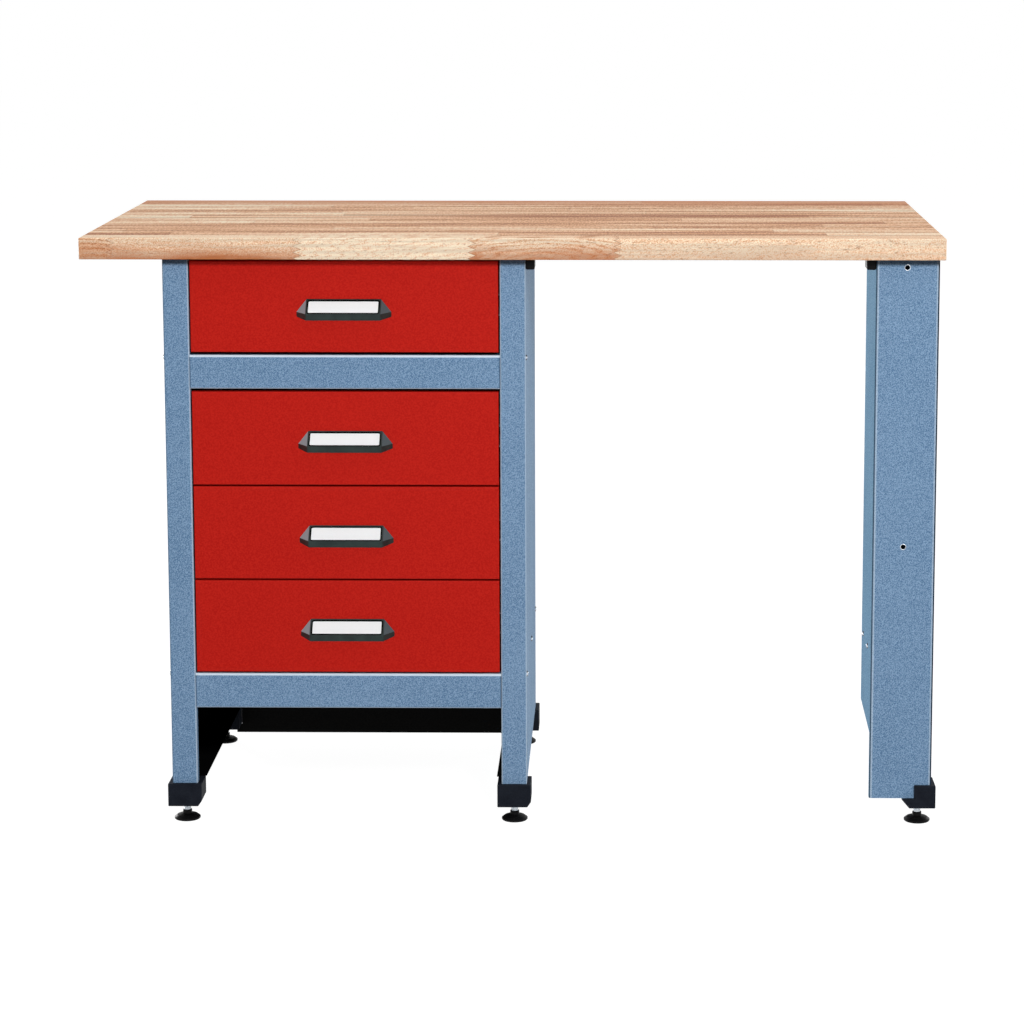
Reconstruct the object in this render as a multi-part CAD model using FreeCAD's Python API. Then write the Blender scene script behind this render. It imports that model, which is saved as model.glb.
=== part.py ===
import FreeCAD, Part
import math
import os

V = FreeCAD.Vector

# Overall sizes, in millimetres
BENCH_HEIGHT = 840.0
TOP_LENGTH = 1200.0
TOP_DEPTH = 600.0
TOP_THICKNESS = 30.0
TOP_ROUND = 1.5
FRONT_OVERHANG = 20.0
FRAME_DEPTH = 450.0

# Folded sheet frame
SHEET = 1.5
BEND = 1.2
POST_WIDTH = 36.0
POST_LIP = 15.0
LIP_SPACE = 3.0
TOP_FLANGE = 32.0
FOOT_FLANGE = 44.0
CABINET_INSET = 112.0
CABINET_WIDTH = 506.0
CABINET_CLEARANCE = 167.5
RAIL_HEIGHT = 50.0
MIDDLE_RAIL_HEIGHT = 47.6
RAIL_DEPTH = 20.0
FLOOR_FLANGE = 56.0
BACK_PANEL_GROUND = 10.0
BACK_PANEL_TUCK = 8.0

# Right leg
LEG_INSET = 6.0
LEG_WIDTH = 88.5
COVER_REVEAL = 2.5
COVER_EDGE = 12.0
COVER_STEP = 24.0
COVER_GROUND = 38.0
COVER_RISE = 30.0
COVER_NOTCH = 22.0
COVER_HOLE = 7.0
COVER_HOLE_DROP = 12.0
COVER_HOLE_SPACING = 395.0
BRACE_LEVEL = 180.0
BRACE_HEIGHT = 40.0
COVER_SCREW_SPACING = 80.0

# Foot caps and levelling feet
CAP_GROUND = 24.0
CAP_HEIGHT = 33.0
CAP_WALL = 6.0
CAP_FLOOR = 10.0
CAP_ROUND = 1.2
CAP_BEVEL_WIDTH = 5.5
CAP_BEVEL_HEIGHT = 8.0
LEG_CAP_BEVEL_WIDTH = 11.0
LEG_CAP_BEVEL_HEIGHT = 13.0
NUT_FLATS = 17.0
NUT_HEIGHT = 8.0
STUD_DIAMETER = 10.0
STUD_BASE = 8.0
STUD_LENGTH = 62.0
PAD_DIAMETER = 37.0
PAD_RIM = 3.0
PAD_DOME = 8.0
HUB_DIAMETER = 13.0
HUB_TOP = 13.5

# Drawers
TOP_DRAWER_HEIGHT = 128.0
TOP_GAP = 4.0
RAIL_GAP = 4.2
DRAWER_GAP = 2.5
SIDE_GAP = 2.0
LOWER_DRAWERS = 3
PAN_DEPTH = 18.0
PAN_RETURN = 12.0
PAN_ROUND = 1.5
BOX_SHEET = 1.0
BOX_SIDE_SPACE = 16.0
BOX_FOOT_SPACE = 12.0
BOX_HEAD_SPACE = 18.0
BOX_REAR_SPACE = 40.0
BOX_HEM = 8.0

# Drawer runners
CHANNEL_HEIGHT = 30.0
CHANNEL_REACH = 11.0
CHANNEL_START = 4.0
CHANNEL_END = 20.0
RAIL_TONGUE = 14.0
RAIL_LEG = 12.0
GLIDE_HEIGHT = 4.0
GLIDE_LENGTH = 24.0
GLIDE_SETBACK = 6.0
FIT = 0.3

# Handles
HANDLE_TOP = 103.5
HANDLE_TIPS = 132.5
HANDLE_DEPTH = 20.0
HANDLE_SLOPE = 19.0
HANDLE_LIP = 9.1
HANDLE_TIP_RISE = 0.85
HANDLE_TIP_HEIGHT = 7.0
HANDLE_WALL = 2.5
HANDLE_ROUND = 0.8
HANDLE_GRIP = 76.0
HANDLE_DROP = 3.0
CARD_WIDTH = 97.5
CARD_HEIGHT = 21.3
CARD_THICKNESS = 0.6
CARD_CORNER = 2.0
CARD_FROM_TOP = 4.2
RECESS_MARGIN = 0.5
RECESS_DEPTH = 1.0

# Screws
SCREW_SHANK = 4.0
SCREW_HEAD = 9.0
SCREW_HEAD_HEIGHT = 2.6
TOP_SCREW_LENGTH = 22.0
SIDE_SCREW_LENGTH = 8.0
HANDLE_SCREW_LENGTH = 12.0
SCREW_PLAY = 0.1

# Positions that follow from the sizes
Z_UNDER = BENCH_HEIGHT - TOP_THICKNESS
Z_CAP_TOP = CAP_GROUND + CAP_HEIGHT
Z_POST = CAP_GROUND + CAP_FLOOR
Y_FRONT = FRONT_OVERHANG - TOP_DEPTH / 2
Y_REAR = Y_FRONT + FRAME_DEPTH
X_CABINET = CABINET_INSET - TOP_LENGTH / 2
X_CENTRE = X_CABINET + CABINET_WIDTH
X_MIDDLE = X_CABINET + CABINET_WIDTH / 2
X_LEG = TOP_LENGTH / 2 - LEG_INSET
X_COVER = X_LEG - LEG_WIDTH
X_LEG_SIDE = X_COVER + COVER_STEP
HALF_OPENING = CABINET_WIDTH / 2 - POST_WIDTH
HALF_INSIDE = CABINET_WIDTH / 2 - SHEET
HALF_FRONT = HALF_OPENING - SIDE_GAP
HALF_BOX = HALF_FRONT - BOX_SIDE_SPACE
CAP_SIZE = POST_WIDTH + 2 * CAP_WALL
Z_BOTTOM_RAIL = CABINET_CLEARANCE
Z_LOWER = Z_BOTTOM_RAIL + RAIL_HEIGHT + DRAWER_GAP
Z_TOP_DRAWER = Z_UNDER - TOP_GAP - TOP_DRAWER_HEIGHT
Z_MIDDLE_RAIL = Z_TOP_DRAWER - RAIL_GAP - MIDDLE_RAIL_HEIGHT
LOWER_SPACE = Z_MIDDLE_RAIL - RAIL_GAP - Z_LOWER
LOWER_HEIGHT = (LOWER_SPACE - (LOWER_DRAWERS - 1) * DRAWER_GAP) / LOWER_DRAWERS
Y_CHANNEL = Y_FRONT + max(POST_LIP, RAIL_DEPTH) + CHANNEL_START
Y_CHANNEL_END = Y_REAR - POST_LIP - CHANNEL_END
Y_BOX_END = Y_REAR - BOX_REAR_SPACE
CHANNEL_GAP = RAIL_TONGUE - CHANNEL_REACH
Z_SCREWS = Z_BOTTOM_RAIL + RAIL_HEIGHT - SHEET
DRAWERS = [(Z_TOP_DRAWER, TOP_DRAWER_HEIGHT)]
for step in range(LOWER_DRAWERS):
    level = Z_LOWER + (LOWER_DRAWERS - 1 - step) * (LOWER_HEIGHT + DRAWER_GAP)
    DRAWERS.append((level, LOWER_HEIGHT))


def block(x0, x1, y0, y1, z0, z1):
    """A box between two corners."""
    return Part.makeBox(x1 - x0, y1 - y0, z1 - z0, V(x0, y0, z0))


def rod(radius, start, end):
    """A cylinder between two points."""
    axis = end - start
    return Part.makeCylinder(radius, axis.Length, start, axis)


def along_x(shape, x):
    """Lays a profile drawn in (Y, Z) and pulled up Z along +X, starting at x."""
    moved = shape.copy()
    moved.Placement = FreeCAD.Placement(V(x, 0, 0), FreeCAD.Rotation(V(1, 1, 1), 120))
    return moved


def along_y(shape, y):
    """Lays a profile drawn in (X, Z) and pulled up Z along -Y, starting at y."""
    moved = shape.copy()
    moved.Placement = FreeCAD.Placement(V(0, y, 0), FreeCAD.Rotation(V(1, 0, 0), 90))
    return moved


def prism(points, length):
    """A flat polygon pulled up Z."""
    loop = [V(u, v, 0) for u, v in points]
    face = Part.Face(Part.makePolygon(loop + loop[:1]))
    return face.extrude(V(0, 0, length))


def upright_edges(shape, u, v):
    """The edges of a pulled profile that stand on the point (u, v)."""
    found = []
    for edge in shape.Edges:
        ends = [vertex.Point for vertex in edge.Vertexes]
        if len(ends) == 2 and all(abs(p.x - u) < 1e-6 and abs(p.y - v) < 1e-6 for p in ends):
            found.append(edge)
    return found


def folded(path, length, thickness=SHEET, bend=BEND):
    """A sheet folded along a path, lying to the right of it, with rounded bends."""
    spots = [V(u, v, 0) for u, v in path]
    ways = [(b - a).normalize() for a, b in zip(spots, spots[1:])]
    sides = [V(way.y, -way.x, 0) for way in ways]
    inner = [spots[0] + sides[0] * thickness]
    for spot, one, two in zip(spots[1:], sides, sides[1:]):
        inner.append(spot + (one + two) * (thickness / (1 + one.dot(two))))
    inner.append(spots[-1] + sides[-1] * thickness)
    outline = [(p.x, p.y) for p in spots] + [(p.x, p.y) for p in reversed(inner)]
    shape = prism(outline, length)
    for index in range(1, len(spots) - 1):
        turn = ways[index - 1].cross(ways[index]).z
        path_radius = bend if turn > 0 else bend + thickness
        for spot, radius in ((spots[index], path_radius), (inner[index], 2 * bend + thickness - path_radius)):
            shape = shape.makeFillet(radius, upright_edges(shape, spot.x, spot.y))
    return shape


def joined(shapes):
    """Shapes that touch, made one."""
    whole = shapes[0].fuse(shapes[1:]) if len(shapes) > 1 else shapes[0]
    return whole.removeSplitter()


def dome_screw(start, way, length, head=SCREW_HEAD, shank=SCREW_SHANK):
    """A dome-head screw: the head stands on the face at start, the shank runs along way."""
    body = rod(shank / 2, start, start + way * length)
    tall = SCREW_HEAD_HEIGHT
    radius = (head * head / 4 + tall * tall) / (2 * tall)
    ball = Part.makeSphere(radius, start + way * (radius - tall))
    keep = rod(head / 2, start - way * tall, start)
    slot_far = start - way * (tall + 0.1)
    socket = rod(head * 0.2, slot_far, slot_far + way * (tall * 0.55))
    return body.fuse(ball.common(keep).cut(socket)).removeSplitter()


# Worktop and its screws
def top_screw_spots():
    """Centres of the screws that hold the worktop, one row for each side panel."""
    rows = (X_CABINET + TOP_FLANGE * 0.6, X_CENTRE - TOP_FLANGE * 0.6, X_LEG - TOP_FLANGE * 0.6)
    return [(x, Y_FRONT + FRAME_DEPTH * share) for x in rows for share in (0.2, 0.5, 0.8)]


def worktop():
    """The board with its pilot holes."""
    board = block(-TOP_LENGTH / 2, TOP_LENGTH / 2, -TOP_DEPTH / 2, TOP_DEPTH / 2, Z_UNDER, BENCH_HEIGHT)
    board = board.makeFillet(TOP_ROUND, board.Edges)
    deep = min(TOP_SCREW_LENGTH, TOP_THICKNESS - 4) + SCREW_PLAY
    for x, y in top_screw_spots():
        board = board.cut(rod(SCREW_SHANK / 2 + SCREW_PLAY, V(x, y, Z_UNDER - 1), V(x, y, Z_UNDER + deep)))
    return board


def worktop_screws():
    """Screws driven up through the top flanges."""
    length = SHEET + min(TOP_SCREW_LENGTH, TOP_THICKNESS - 4)
    return [dome_screw(V(x, y, Z_UNDER - SHEET), V(0, 0, 1), length) for x, y in top_screw_spots()]


# Side panels
def side_panel(x_outer, inward, y_front):
    """A folded panel: web, two posts with lips, flanges along head and foot, and ends for the caps."""
    path = [(POST_WIDTH, y_front + POST_LIP), (POST_WIDTH, y_front), (0, y_front)]
    path += [(0, Y_REAR), (POST_WIDTH, Y_REAR), (POST_WIDTH, Y_REAR - POST_LIP)]
    sheet = folded(path, Z_UNDER - Z_POST)
    sheet.translate(V(0, 0, Z_POST))
    y0 = y_front + POST_WIDTH
    y1 = Y_REAR - POST_WIDTH
    z_foot = Z_CAP_TOP + FIT
    sheet = sheet.cut(block(-1, POST_WIDTH + 1, y0, y1, Z_POST - 1, z_foot))
    lip0 = y_front + POST_LIP + LIP_SPACE
    lip1 = Y_REAR - POST_LIP - LIP_SPACE
    head = block(SHEET / 2, TOP_FLANGE, lip0, lip1, Z_UNDER - SHEET, Z_UNDER)
    foot = block(SHEET / 2, FOOT_FLANGE, y0, y1, z_foot, z_foot + SHEET)
    panel = joined([sheet, head, foot])
    if inward < 0:
        panel = panel.mirror(V(0, 0, 0), V(1, 0, 0))
    panel.translate(V(x_outer, 0, 0))
    for x, y in top_screw_spots():
        panel = panel.cut(rod(SCREW_SHANK / 2 + SCREW_PLAY, V(x, y, Z_UNDER - 4), V(x, y, Z_UNDER + 1)))
    return panel


def side_screw_spots():
    """Depth and height of the screws in each cabinet side."""
    near = Y_FRONT + 10
    return [
        (near, Z_MIDDLE_RAIL + MIDDLE_RAIL_HEIGHT - 4),
        (near, Z_SCREWS),
        (Y_FRONT + FRAME_DEPTH * 0.5, Z_SCREWS),
        (Y_REAR - POST_LIP - 12, Z_SCREWS),
    ]


def side_screw_holes(shape):
    """Cuts the clearance holes of the cabinet side screws."""
    for y, z in side_screw_spots():
        for x in (X_CABINET, X_CENTRE):
            shape = shape.cut(rod(SCREW_SHANK / 2 + SCREW_PLAY, V(x - 8, y, z), V(x + 8, y, z)))
    return shape


def side_screws():
    """Dome screws on both outer faces of the cabinet."""
    made = []
    for y, z in side_screw_spots():
        made.append(dome_screw(V(X_CABINET, y, z), V(1, 0, 0), SIDE_SCREW_LENGTH))
        made.append(dome_screw(V(X_CENTRE, y, z), V(-1, 0, 0), SIDE_SCREW_LENGTH))
    return made


# Leg cover and brace
def cover_screw_spots():
    """Depth and height of the screws on the inner side of the leg."""
    rear = Y_REAR - POST_WIDTH
    return [(rear - COVER_SCREW_SPACING, BRACE_LEVEL), (rear, BRACE_LEVEL)]


def leg_cover():
    """Front plate with a folded edge, stepped back to the inner side of the right leg, in one sheet."""
    right = X_LEG - COVER_REVEAL
    rear = X_LEG - POST_WIDTH - 2
    step = Y_FRONT + COVER_EDGE
    path = [(right, Y_FRONT), (X_COVER, Y_FRONT), (X_COVER, step), (X_LEG_SIDE, step)]
    path += [(X_LEG_SIDE, Y_REAR), (rear, Y_REAR)]
    sheet = folded(path, Z_UNDER - COVER_GROUND)
    sheet.translate(V(0, 0, COVER_GROUND))
    notch = right - COVER_NOTCH
    low = COVER_GROUND - 1
    sheet = sheet.cut(block(notch, right + 1, Y_FRONT - 1, Y_FRONT + SHEET + 1, low, Z_CAP_TOP + FIT))
    y0 = Y_FRONT + SHEET + BEND
    slope = [(y0, low), (Y_REAR + 1, low), (Y_REAR + 1, COVER_GROUND + COVER_RISE), (y0, COVER_GROUND)]
    sheet = sheet.cut(along_x(prism(slope, LEG_WIDTH), X_COVER - 1))
    centre = (X_COVER + right) / 2
    for drop in (COVER_HOLE_DROP, COVER_HOLE_DROP + COVER_HOLE_SPACING):
        z = Z_UNDER - drop
        sheet = sheet.cut(rod(COVER_HOLE / 2, V(centre, Y_FRONT - 1, z), V(centre, Y_FRONT + SHEET + 1, z)))
    return cover_screw_holes(sheet)


def cover_screw_holes(shape):
    """Cuts the clearance holes of the leg screws."""
    for y, z in cover_screw_spots():
        hole = rod(SCREW_SHANK / 2 + SCREW_PLAY, V(X_LEG_SIDE - 2, y, z), V(X_LEG_SIDE + 12, y, z))
        shape = shape.cut(hole)
    return shape


def leg_brace():
    """A folded channel between the cover and the outer panel."""
    x0 = X_LEG_SIDE + SHEET
    x1 = X_LEG - SHEET
    y0 = Y_FRONT + FRAME_DEPTH * 0.35
    y1 = Y_REAR - POST_LIP - 3
    z0 = BRACE_LEVEL - BRACE_HEIGHT / 2
    z1 = BRACE_LEVEL + BRACE_HEIGHT / 2
    path = [(x0, z1), (x0, z0), (x1, z0), (x1, z1)]
    path.reverse()
    return cover_screw_holes(along_y(folded(path, y1 - y0), y1))


def cover_screws():
    """Dome screws on the inner side of the leg."""
    return [dome_screw(V(X_LEG_SIDE, y, z), V(1, 0, 0), SIDE_SCREW_LENGTH) for y, z in cover_screw_spots()]


# Rails, floor and back of the cabinet
def front_rail(z0, height):
    """A channel between the front posts."""
    z1 = z0 + height
    path = [(Y_FRONT + RAIL_DEPTH, z0), (Y_FRONT, z0), (Y_FRONT, z1), (Y_FRONT + RAIL_DEPTH, z1)]
    return along_x(folded(path, 2 * HALF_OPENING), X_MIDDLE - HALF_OPENING)


def cabinet_floor():
    """The sheet under the lowest drawer, folded up along both webs."""
    z0 = Z_BOTTOM_RAIL + SHEET
    x0 = X_MIDDLE - HALF_INSIDE
    x1 = X_MIDDLE + HALF_INSIDE
    path = [(x0, z0 + FLOOR_FLANGE), (x0, z0), (x1, z0), (x1, z0 + FLOOR_FLANGE)]
    path.reverse()
    y0 = Y_FRONT + max(POST_LIP, RAIL_DEPTH) + FIT
    y1 = Y_REAR - POST_LIP - FIT
    tray = along_y(folded(path, y1 - y0), y1)
    edge = HALF_OPENING - FIT
    tongue = block(X_MIDDLE - edge, X_MIDDLE + edge, Y_FRONT + SHEET + BEND, y0 + SHEET, z0, z0 + SHEET)
    return side_screw_holes(joined([tray, tongue]))


def back_panel():
    """The black sheet inside the rear posts, reaching down between the rear caps and a little under them."""
    y1 = Y_REAR - SHEET
    edge = HALF_OPENING - SHEET - FIT
    skirt = HALF_OPENING - CAP_WALL - FIT
    upper = block(X_MIDDLE - edge, X_MIDDLE + edge, y1 - SHEET, y1, Z_CAP_TOP + 2, Z_UNDER - FIT)
    lower = block(X_MIDDLE - skirt, X_MIDDLE + skirt, y1 - SHEET, y1, BACK_PANEL_GROUND, Z_CAP_TOP + 4)
    tuck = skirt + BACK_PANEL_TUCK
    foot = block(X_MIDDLE - tuck, X_MIDDLE + tuck, y1 - SHEET, y1, BACK_PANEL_GROUND, CAP_GROUND - FIT)
    lips = []
    for side in (-1, 1):
        inner = X_MIDDLE + side * edge
        outer = X_MIDDLE + side * HALF_OPENING
        x0 = min(inner, outer)
        x1 = max(inner, outer)
        lips.append(block(x0, x1, Y_REAR - POST_LIP, y1, Z_CAP_TOP + 2, Z_UNDER - FIT))
    return joined([upper, lower, foot] + lips)


# Feet
def foot_spots():
    """Name, centre, front direction of every foot."""
    spots = []
    half = POST_WIDTH / 2
    for name, x in (("left", X_CABINET + half), ("centre", X_CENTRE - half), ("leg", X_LEG - half)):
        front = Y_FRONT + half + (SHEET if name == "leg" else 0)
        spots.append((name + "_front", x, front))
        spots.append((name + "_rear", x, Y_REAR - half))
    return spots


def foot_cap(name, x, y):
    """A plastic cup under a post, with a hexagon seat for its nut."""
    half = CAP_SIZE / 2
    body = block(x - half, x + half, y - half, y + half, CAP_GROUND, Z_CAP_TOP)
    body = body.makeFillet(CAP_ROUND, body.Edges)
    side, wide, tall = 1, CAP_BEVEL_WIDTH, CAP_BEVEL_HEIGHT
    if name.startswith("leg"):
        side, wide, tall = -1, LEG_CAP_BEVEL_WIDTH, LEG_CAP_BEVEL_HEIGHT
    if name.endswith("front"):
        edge = x + side * half
        corner = [(edge - side * wide, CAP_GROUND), (edge, CAP_GROUND), (edge, CAP_GROUND + tall)]
        body = body.cut(along_y(prism(corner, CAP_SIZE), y + half))
    seat = POST_WIDTH / 2 + SCREW_PLAY
    body = body.cut(block(x - seat, x + seat, y - seat, y + seat, Z_POST, Z_CAP_TOP + 1))
    body = body.cut(hexagon(x, y, NUT_FLATS + 2 * SCREW_PLAY, Z_POST - NUT_HEIGHT, Z_POST + 1))
    body = body.cut(rod(STUD_DIAMETER / 2 + FIT, V(x, y, CAP_GROUND - 1), V(x, y, Z_POST)))
    if name == "leg_front":
        notch = X_LEG - COVER_REVEAL - COVER_NOTCH + FIT
        back = Y_FRONT + SHEET + SCREW_PLAY
        body = body.cut(block(x - half - 1, notch, y - half - 1, back, COVER_GROUND - FIT, Z_CAP_TOP + 1))
        body = largest(body)
    return body


def largest(shape):
    """The biggest solid of a shape that a cut may have split."""
    return max(shape.Solids, key=lambda solid: solid.Volume)


def hexagon(x, y, flats, z0, z1):
    """A six-sided prism with its flats facing front and back."""
    radius = flats / math.sqrt(3)
    corners = [math.radians(60 * step) for step in range(6)]
    points = [(x + radius * math.cos(turn), y + radius * math.sin(turn)) for turn in corners]
    shape = prism(points, z1 - z0)
    shape.translate(V(0, 0, z0))
    return shape


def foot_nut(x, y):
    """The captive nut that a stud turns in."""
    bore = rod(STUD_DIAMETER / 2 + FIT, V(x, y, Z_POST - NUT_HEIGHT - 1), V(x, y, Z_POST + 1))
    return hexagon(x, y, NUT_FLATS, Z_POST - NUT_HEIGHT, Z_POST).cut(bore)


def foot_stud(x, y):
    """The zinc-plated stud of a levelling foot."""
    stud = rod(STUD_DIAMETER / 2, V(x, y, STUD_BASE), V(x, y, STUD_BASE + STUD_LENGTH))
    return stud.makeChamfer(1.0, [edge for edge in stud.Edges if edge.BoundBox.ZMin > STUD_BASE + 1])


def foot_pad(x, y):
    """The domed plastic pad with its hub."""
    rim = PAD_DIAMETER / 2
    hub = HUB_DIAMETER / 2
    bore = STUD_DIAMETER / 2 + SCREW_PLAY
    points = [(0, 0), (rim - 1, 0), (rim, 1), (rim, PAD_RIM), (rim * 0.8, (PAD_RIM + PAD_DOME) * 0.53)]
    points += [(rim * 0.5, PAD_DOME * 0.92), (hub, PAD_DOME), (hub, HUB_TOP - 0.6), (hub - 0.6, HUB_TOP)]
    points += [(bore, HUB_TOP), (bore, STUD_BASE), (0, STUD_BASE)]
    loop = [V(x + r, y, z) for r, z in points]
    face = Part.Face(Part.makePolygon(loop + loop[:1]))
    return face.revolve(V(x, y, 0), V(0, 0, 1), 360)


# Drawer parts
def drawer_front(z0, height):
    """The red front: a shallow pan with returns, open to the back."""
    x0 = X_MIDDLE - HALF_FRONT
    x1 = X_MIDDLE + HALF_FRONT
    z1 = z0 + height
    y0 = Y_FRONT
    y1 = Y_FRONT + PAN_DEPTH
    pan = block(x0, x1, y0, y1, z0, z1)
    front = [edge for edge in pan.Edges if edge.BoundBox.YMax < y0 + 0.1]
    pan = pan.makeFillet(PAN_ROUND, front)
    pan = pan.cut(block(x0 + SHEET, x1 - SHEET, y0 + SHEET, y1 - SHEET, z0 + SHEET, z1 - SHEET))
    inset = SHEET + PAN_RETURN
    pan = pan.cut(block(x0 + inset, x1 - inset, y1 - SHEET - 1, y1 + 1, z0 + inset, z1 - inset))
    for x, z in handle_screw_spots(z0, height):
        pan = pan.cut(rod(SCREW_SHANK / 2 + SCREW_PLAY, V(x, y0 - 1, z), V(x, y0 + SHEET + 1, z)))
    return pan


def channel_level(z0, height):
    """Underside of the runner channels of a drawer."""
    return z0 + height * 0.5 - CHANNEL_HEIGHT / 2


def tongue_level(z0, height):
    """Underside of the drawer rails."""
    return channel_level(z0, height) + SHEET + GLIDE_HEIGHT + FIT


def drawer_box(z0, height):
    """The sheet box with hemmed sides, closed ends and a rail along each side."""
    low = z0 + BOX_FOOT_SPACE
    high = z0 + height - BOX_HEAD_SPACE
    y0 = Y_FRONT + PAN_DEPTH
    x0 = X_MIDDLE - HALF_BOX
    x1 = X_MIDDLE + HALF_BOX
    path = [(x1 - BOX_HEM, high), (x1, high), (x1, low), (x0, low), (x0, high), (x0 + BOX_HEM, high)]
    tray = along_y(folded(path, Y_BOX_END - y0, BOX_SHEET, BEND), Y_BOX_END)
    inside = BOX_SHEET / 2
    ends = []
    for y in (y0, Y_BOX_END - BOX_SHEET):
        ends.append(block(x0 + inside, x1 - inside, y, y + BOX_SHEET, low + inside, high - BOX_SHEET - 6))
    level = tongue_level(z0, height)
    rails = []
    for side in (-1, 1):
        path = [(RAIL_TONGUE, level), (0, level), (0, level + RAIL_LEG)]
        rear = Y_CHANNEL_END - SHEET - FIT
        rails.append(flipped(along_y(folded(path, rear - Y_CHANNEL), rear), side))
    return joined([tray] + ends + rails)


def flipped(shape, side):
    """Takes a shape drawn for the right side of the drawer to either side."""
    turned = shape.copy()
    if side < 0:
        turned = turned.mirror(V(0, 0, 0), V(1, 0, 0))
    turned.translate(V(X_MIDDLE + side * HALF_BOX, 0, 0))
    return turned


def rear_glides(z0, height):
    """Nylon blocks under the rear end of the drawer rails."""
    level = channel_level(z0, height) + SHEET + FIT
    y1 = Y_CHANNEL_END - SHEET - FIT
    pair = []
    for side in (-1, 1):
        glide = block(CHANNEL_GAP, RAIL_TONGUE, y1 - GLIDE_LENGTH, y1, level, level + GLIDE_HEIGHT)
        pair.append(flipped(glide, side))
    return pair


def front_glides(z0, height):
    """Nylon blocks at the mouth of the runner channels."""
    level = channel_level(z0, height) + SHEET
    y0 = Y_CHANNEL + GLIDE_SETBACK
    pair = []
    for side in (-1, 1):
        glide = block(CHANNEL_GAP, RAIL_TONGUE, y0, y0 + GLIDE_LENGTH, level, level + GLIDE_HEIGHT)
        pair.append(flipped(glide, side))
    return pair


def runners(z0, height):
    """The fixed channels of a drawer, with a stop plate at the rear end."""
    low = channel_level(z0, height)
    high = low + CHANNEL_HEIGHT
    web = HALF_INSIDE - HALF_BOX
    length = Y_CHANNEL_END - Y_CHANNEL
    pair = []
    for side in (-1, 1):
        path = [(CHANNEL_GAP, low), (web, low), (web, high), (CHANNEL_GAP, high)]
        path.reverse()
        channel = along_y(folded(path, length), Y_CHANNEL_END)
        half = SHEET / 2
        stop = block(CHANNEL_GAP, web - half, Y_CHANNEL_END - SHEET, Y_CHANNEL_END, low + half, high - half)
        pair.append(flipped(joined([channel, stop]), side))
    return pair


# Handles
def handle_level(z0, height):
    """Height of the top edge of a handle."""
    return z0 + height / 2 - HANDLE_DROP + (HANDLE_SLOPE + HANDLE_LIP) / 2


def handle_screw_spots(z0, height):
    """Centres of the two screws of a handle."""
    x = HANDLE_GRIP / 2 + (HANDLE_TOP - HANDLE_GRIP) / 4 + 1.5
    z = handle_level(z0, height) - HANDLE_SLOPE - HANDLE_LIP * 0.25
    return [(X_MIDDLE - x, z), (X_MIDDLE + x, z)]


def slope_place(z0, height, down, lift):
    """Placement on the sloping face of a handle, a distance down it and above it."""
    turn = math.atan2(HANDLE_SLOPE, HANDLE_DEPTH)
    way = V(0, -math.cos(turn), -math.sin(turn))
    out = V(0, -math.sin(turn), math.cos(turn))
    spot = V(X_MIDDLE, Y_FRONT, handle_level(z0, height)) + way * down + out * lift
    return FreeCAD.Placement(spot, FreeCAD.Rotation(V(1, 0, 0), math.degrees(turn)))


def card_shape(grow, thickness):
    """A card with rounded corners, centred on its own origin."""
    wide = CARD_WIDTH + 2 * grow
    tall = CARD_HEIGHT + 2 * grow
    card = Part.makeBox(wide, tall, thickness, V(-wide / 2, -tall / 2, 0))
    corners = [edge for edge in card.Edges if edge.BoundBox.ZLength > thickness / 2]
    return card.makeFillet(CARD_CORNER + grow, corners)


def outward_face(points, inside):
    """A flat face on a loop of points, turned to look away from a point inside."""
    face = Part.Face(Part.makePolygon(points + points[:1]))
    if face.normalAt(0, 0).dot(face.CenterOfMass - inside) < 0:
        back = points[::-1]
        face = Part.Face(Part.makePolygon(back + back[:1]))
    return face


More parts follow.
